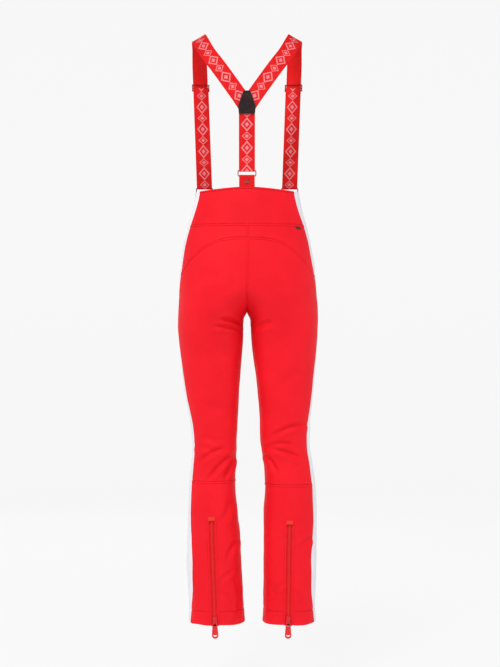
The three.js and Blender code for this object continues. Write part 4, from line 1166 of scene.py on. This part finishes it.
def ribbon(name, stations, width, materials, body, nodes, cut=None, flip=False, phase=0.0):
    """Webbing along (place, direction across) stations, with thicker selvedges.

    It doesn't cross the middle plane to the other side of cut. phase moves its woven figure.
    """
    at, wides = (np.array(values, float) for values in zip(*stations))
    path, number = spline(at, 2.6)
    i = np.minimum(number.astype(int), len(stations) - 2)
    share = (number - i)[:, None]
    run = unit(np.gradient(path, axis=0))
    wide = wides[i] * (1 - share) + wides[i + 1] * share
    wide = unit(wide - run * np.sum(wide * run, -1, keepdims=True))
    out = np.cross(run, wide) * (-1 if flip else 1)
    length = run_along(path)
    u = (graded(width, 3.0) - 0.5) * width
    edge, half = width / 2 - np.abs(u), WEB["thick"] / 2
    rounded = half * np.sqrt(1 - np.clip(1 - edge / half, 0, 1) ** 2)
    thick = (rounded + 0.12 * bell(edge - 1.1, 0.8))[None, :, None] * out[:, None]
    middle = path[:, None] + u[None, :, None] * wide[:, None]
    layers = [middle + thick, middle - thick]
    if cut:
        for layer in layers:
            layer[..., 0] = cut * np.maximum(cut * layer[..., 0], 0.2)
    uv = np.stack(np.broadcast_arrays(u, length[:, None] + phase), -1) * MM
    mask = np.ones((len(path) - 1, len(u) - 1), bool)
    piece = grid_shell(name, *layers, uv, mask, materials, turned=not flip)
    return finish_piece(piece, body, nodes)


def round_bar(at, way=1):
    """Half a turn of webbing round a bar. at(n, u) is a place n in front of the bar and u above."""
    turns = [math.pi * share for share in (0.25, 0.5, 0.75)]
    return [at(LOOP * math.cos(a), -way * LOOP * math.sin(a)) for a in turns]


def front_run(s):
    """How a shoulder strap lies at its front tab and on its straight run up to the adjuster."""
    foot = np.array(float(STRAP_FOOT))
    angle = angle_at(s, foot, STRAP_X, True)
    root = on_surface(s, angle, foot)
    down = point_at(s, STRAP_X, STRAP_FOOT - TAB["drop"], True) - root
    round_way = on_surface(s, angle + 0.01, foot) - on_surface(s, angle - 0.01, foot)
    out = unit(s * np.array([round_way[1], -round_way[0], 0]))
    wide = turned_to(unit(np.cross((0, 0, 1), out)), (s, 0, 0))
    down = unit(down - wide * np.dot(down, wide))
    lower_bar = root + out * TAB["stand"] + (0, 0, TAB["up"])
    rise = RING["height"] + ADJUSTER_UP
    up = unit(np.array([s * ADJUSTER_X - lower_bar[0], -ADJUSTER_AHEAD, rise]))
    across = unit(wide - up * np.dot(wide, up))
    ahead = turned_to(unit(np.cross(up, across)), (0, -1, 0))
    return out, wide, down, lower_bar, up, across, ahead


def make_shoulder_strap(s):
    """Over the shoulder, down to the front ring, round it and back up to the adjuster."""
    word = WORD[s]
    out, wide, down, lower_bar, up, across, ahead = front_run(s)
    upper_bar = lower_bar + up * RING["height"]
    along = lambda n, u: upper_bar + n * ahead + u * up
    stations = [(np.multiply(place, (s, 1, 1)), unit(np.multiply(lie, (s, 1, 1))))
                for place, lie in OVER_SHOULDER]
    front = [along(LOOP, u) for u in (ADJUSTER_UP + 15, ADJUSTER_UP, 170, 80, 6, 0)]
    tail = [along(-LOOP, u) for u in (0, 10, 130, ADJUSTER_UP - 1)]
    stations += [(place, across) for place in (*front, *round_bar(along), *tail)]
    ribbon(f"{word}_shoulder_webbing", stations, WEB["width"], [web_motif, web_plain], "suspenders",
           [f"{word}_shoulder_strap", f"{word}_strap_return"], cut=s, flip=s < 0)
    axes = np.stack([np.cross(up, ahead), up, ahead])
    make_ring(f"{word}_front_ring", upper_bar, axes, f"{word}_front_ring")
    make_adjuster(word, along(LOOP, ADJUSTER_UP), axes)
    make_front_tab(s, out, wide, down, lower_bar, across)


def make_front_tab(s, out, wide, down, lower_bar, across):
    """Round the front ring's lower bar, with a snap on its longer front end."""
    body = f"{WORD[s]}_front_tab"
    face = turned_to(unit(np.cross(down, wide)), out)
    tab_at = lambda n, d: lower_bar + n * face + d * down
    places = [tab_at(-LOOP, TAB["inner"]), tab_at(-LOOP, 4), tab_at(-LOOP, 0),
              *round_bar(tab_at)[::-1],
              tab_at(LOOP, 0), tab_at(LOOP, 4), tab_at(LOOP, TAB["outer"])]
    stations = [(place, across if 0 < i < 8 else wide) for i, place in enumerate(places)]
    ribbon(f"{WORD[s]}_tab_webbing", stations, WEB["width"] - 1, [web_plain], body, [body])
    cap = tab_at(LOOP + WEB["thick"] / 2 + SNAP["stand"], SNAP["down"])
    axes = np.stack([np.cross(down, face), down, face])
    make_snap(f"{WORD[s]}_tab_snap", cap, axes, body)
    softened(f"{WORD[s]}_waist_stud", metal_red, "trousers", 0.25)


def make_ring(node, origin, axes, body):
    """A rounded rectangle of wire that hangs down from the middle of its upper bar."""
    half, height, corner = RING["width"] / 2, RING["height"], RING["corner"]
    centres = [(half - corner, -corner, 0), (half - corner, corner - height, -1),
               (corner - half, corner - height, -2), (corner - half, -corner, -3)]
    path = []
    for x, y, quarter in centres:
        turns = math.pi / 2 * (1 + quarter) - np.linspace(0, math.pi / 2, 7)
        path += [(x + corner * math.cos(a), y + corner * math.sin(a), 0) for a in turns]
    wire = tube(densify(path), WIRE, True)
    solid(f"{node}_wire", placed(wire, origin, axes), metal_wire, body, [node])


def densify(path, step=3.0):
    """A closed path with no repeated points and no gap much longer than the step."""
    path = [p for i, p in enumerate(path) if math.dist(p, path[i - 1]) > 1e-6]
    filled = []
    for here, there in zip(path, path[1:] + path[:1]):
        count = max(1, round(math.dist(here, there) / step))
        filled += [tuple(np.array(here) + (np.array(there) - here) * k / count)
                   for k in range(count)]
    return filled


def make_adjuster(word, origin, axes):
    """Two wire bars behind the strap and one in front, with side rails and small end knobs."""
    half, reach, wire, knob = (ADJUSTER[key] for key in ("half", "reach", "wire", "knob"))
    clear = WEB["thick"] / 2 + 0.5 + wire
    bars = [(half - wire, -clear), (wire - half, -clear), (0, clear)]
    shapes = [tube([(x, y, z) for x in (-reach, 0, reach)], wire, False) for y, z in bars]
    rail = rounded_box((2.4, 2 * half, 2 * clear + wire), 0.7)
    turns = np.linspace(-1.2, 1.2, 9)
    ball = lathe([(0.05, -knob), *[(knob * math.cos(a), knob * math.sin(a)) for a in turns],
                  (0.05, knob)], 18)
    for x in (reach + 0.6, -reach - 0.6):
        shapes.append(moved(rail, (x, 0, 0)))
        shapes += [moved(ball, (x, y, z - 0.4)) for y, z in bars[:2]]
    solid(f"{word}_adjuster_wire", placed(gather(shapes), origin, axes), metal_wire,
          f"{word}_adjuster", [f"{word}_adjuster"])


def make_snap(node, origin, axes, body):
    """A press stud's domed cap on a thin flange, with its z axis out of the cloth."""
    radius, height = SNAP["radius"], SNAP["dome"]
    flat = radius - 0.9
    rim = [(radius - 0.3, 0), (radius, 0.15), (radius, 0.35), (radius - 0.3, 0.5), (flat, 0.4)]
    crown = [(flat * math.cos(a) ** 0.8, 0.4 + (height - 0.4) * math.sin(a) ** 0.8)
             for a in np.linspace(0.05, math.pi / 2 - 0.02, 14)]
    solid(f"{node}_cap", placed(lathe([*rim, *crown]), origin, axes), metal_cap, body, [node])


def make_waist_snaps():
    x = WAIST_SNAPS["x"]
    for node, height in WAIST_SNAPS["heights"].items():
        z = np.array(float(height))
        angle = angle_at(LEFT, z, x, True)
        out = normal_at(LEFT, angle, z)
        origin = on_surface(LEFT, angle, z) + 0.8 * out
        across = unit(np.cross((0, 0, 1), out))
        make_snap(node, origin, np.stack([across, np.cross(out, across), out]), "trousers")


def make_back_strap():
    """The back strap, its ring, and the snapped tab that holds the ring to the waistband."""
    upper = BACK_RING_Z + RING["height"]
    at = lambda n, z: (0, BACK_TAB_Y + n, z)
    top = [(0, BACK_Y, 226), (0, BACK_Y, 180), (0, BACK_Y - 1.5, 130)]
    down = [at(LOOP + 1, upper + 30), at(LOOP, upper + 8), at(LOOP, upper)]
    up = [at(-LOOP, upper), at(-LOOP, upper + 8), at(1.8 - LOOP, upper + 24)]
    places = [*top, *down, *round_bar(lambda n, u: at(n, upper + u)), *up]
    sideways = (1, 0, 0)
    ribbon("back_webbing", [(p, sideways) for p in places], WEB["width"], [web_motif, web_plain],
           "suspenders", ["back_strap"], flip=True, phase=20)
    axes = np.array([(-1, 0, 0), (0, 0, 1), (0, 1, 0)])
    make_ring("back_ring", np.array(at(0, upper)), axes, "back_ring")
    leg = lambda lay, loop, length: [
        at(n, BACK_RING_Z - d)
        for n, d in ((lay, length), (lay, 12), (lay, 7), (loop, 2), (loop, 0))]
    tab = [*leg(-BACK_TAB["front"], -LOOP, BACK_TAB["inner"]),
           *round_bar(lambda n, u: at(n, BACK_RING_Z + u), -1)[::-1],
           *leg(BACK_TAB["back"], LOOP, BACK_TAB["outer"])[::-1]]
    ribbon("back_tab_webbing", [(p, sideways) for p in tab], WEB["width"] - 1, [web_plain],
           "trousers", ["back_tab"])
    stand = BACK_TAB["back"] + WEB["thick"] / 2 + SNAP["stand"]
    cap = np.array(at(stand, BACK_RING_Z - SNAP["back"]))
    make_snap("back_tab_snap", cap, axes, "trousers")


def make_yoke_patches():
    """Two leather plates round the straps' join, bound and stitched at their edges."""
    top, wide, low, thick = (YOKE[key] for key in ("top", "wide", "low", "thick"))
    side = [(YOKE["top_half"], top), (YOKE["wide_half"], wide), (YOKE["wide_half"] - 2, low)]
    corners = side + [(-x, z) for x, z in side[::-1]]
    bevel = ((0.9, 0.35), (0.55, 0), (0.55, thick), (0.9, thick - 0.35))
    plates = (("yoke_patch_outer", BACK_Y + LAYER + WEB["thick"] / 2 + 0.35, thick + 0.05, 1),
              ("yoke_patch_inner", BACK_Y - WEB["thick"] / 2 - 0.35 - thick, -0.05, -1))
    for node, y, face, out in plates:
        ring = lambda inset, depth: [(x, y + depth, z) for x, z in shrunk(corners, inset)]
        verts = np.concatenate([ring(*step) for step in bevel])
        solid(f"{node}_hide", (verts, ring_faces(len(bevel), len(corners))), hide, "suspenders",
              [node])
        edge = densify(ring(0.9, thick / 2), 2.0)
        solid(f"{node}_binding", tube(edge, 1.0, True), black_edge, "suspenders", [node])
        row = np.array(densify(ring(3.2, face), 1.5))
        sew(row, np.repeat([(0.0, out, 0.0)], len(row), 0), "suspenders")


def shrunk(corners, inset):
    """The corners of a convex outline moved in by the same distance from each side."""
    points = np.array(corners, float)
    run = unit(np.roll(points, -1, 0) - points)
    inward = np.stack([run[:, 1], -run[:, 0]], -1)
    inward *= np.sign(np.sum(inward[0] * (points.mean(0) - points[0])))
    inner = []
    for i in range(len(points)):
        pair = np.stack([inward[i - 1], inward[i]])
        reach = [inset + inward[i - 1] @ points[i], inset + inward[i] @ points[i]]
        inner.append(tuple(np.linalg.solve(pair, reach)))
    return inner


# ---------- stage, light and camera ----------
def make_studio():
    scene = bpy.context.scene
    scene.view_settings.view_transform = "Standard"
    scene.world = bpy.data.worlds.new("studio")
    scene.world.use_nodes = True
    background = scene.world.node_tree.nodes["Background"]
    background.inputs[0].default_value = SKY["tone"]
    background.inputs[1].default_value = SKY["strength"]
    for name, (place, power, size) in LIGHTS.items():
        data = bpy.data.lights.new(name, "AREA")
        data.energy, data.shape = power, "RECTANGLE"
        data.size, data.size_y = size
        lamp = in_scene(name, data)
        lamp.location = place
        toward = Vector(AIM) - Vector(place)
        lamp.rotation_euler = toward.to_track_quat("-Z", "Y").to_euler()
    scene.camera = in_scene("camera", bpy.data.cameras.new("camera"))
    scene.camera.data.lens = CAMERA["lens"]
    scene.camera.location = CAMERA["place"]
    scene.camera.rotation_euler = (math.pi / 2, 0, math.pi)


def make_floor():
    """A pale bowl round the part. It dims towards the photographer's side."""
    look = Look("studio_floor")
    bright = look.ramp(look.split(look.place())[1], GLOW["dim_to"], GLOW["dim_from"])
    glow = look.math("ADD", look.times(bright, GLOW["more"]), GLOW["least"])
    look.finish(Base_Color=(0.09, 0.09, 0.09), Roughness=0.9, Specular_IOR_Level=0.0,
                Emission_Color=(1, 1, 1), Emission_Strength=glow)
    ground, bend = cad_box[0][2] / MM - BOWL["below"], BOWL["bend"]
    curve = [(BOWL["flat"] + bend * math.sin(a), ground + bend * (1 - math.cos(a)))
             for a in np.linspace(0, math.pi / 2, 12)]
    wall = (BOWL["flat"] + bend, ground + BOWL["wall"])
    verts, faces = lathe([(0.1, ground), (BOWL["centre"], ground), *curve, wall], 96)
    mesh_object("studio_floor", verts, faces[:-1], [look.material])


make_waistband()
for side_sign in BOTH:
    make_trunk(side_sign)
    make_lower_leg(side_sign)
    make_shoulder_strap(side_sign)
make_fly()
make_tag()
make_waist_snaps()
make_back_strap()
make_yoke_patches()
make_threads({"trousers": thread, "suspenders": dark_thread})
make_studio()
make_floor()
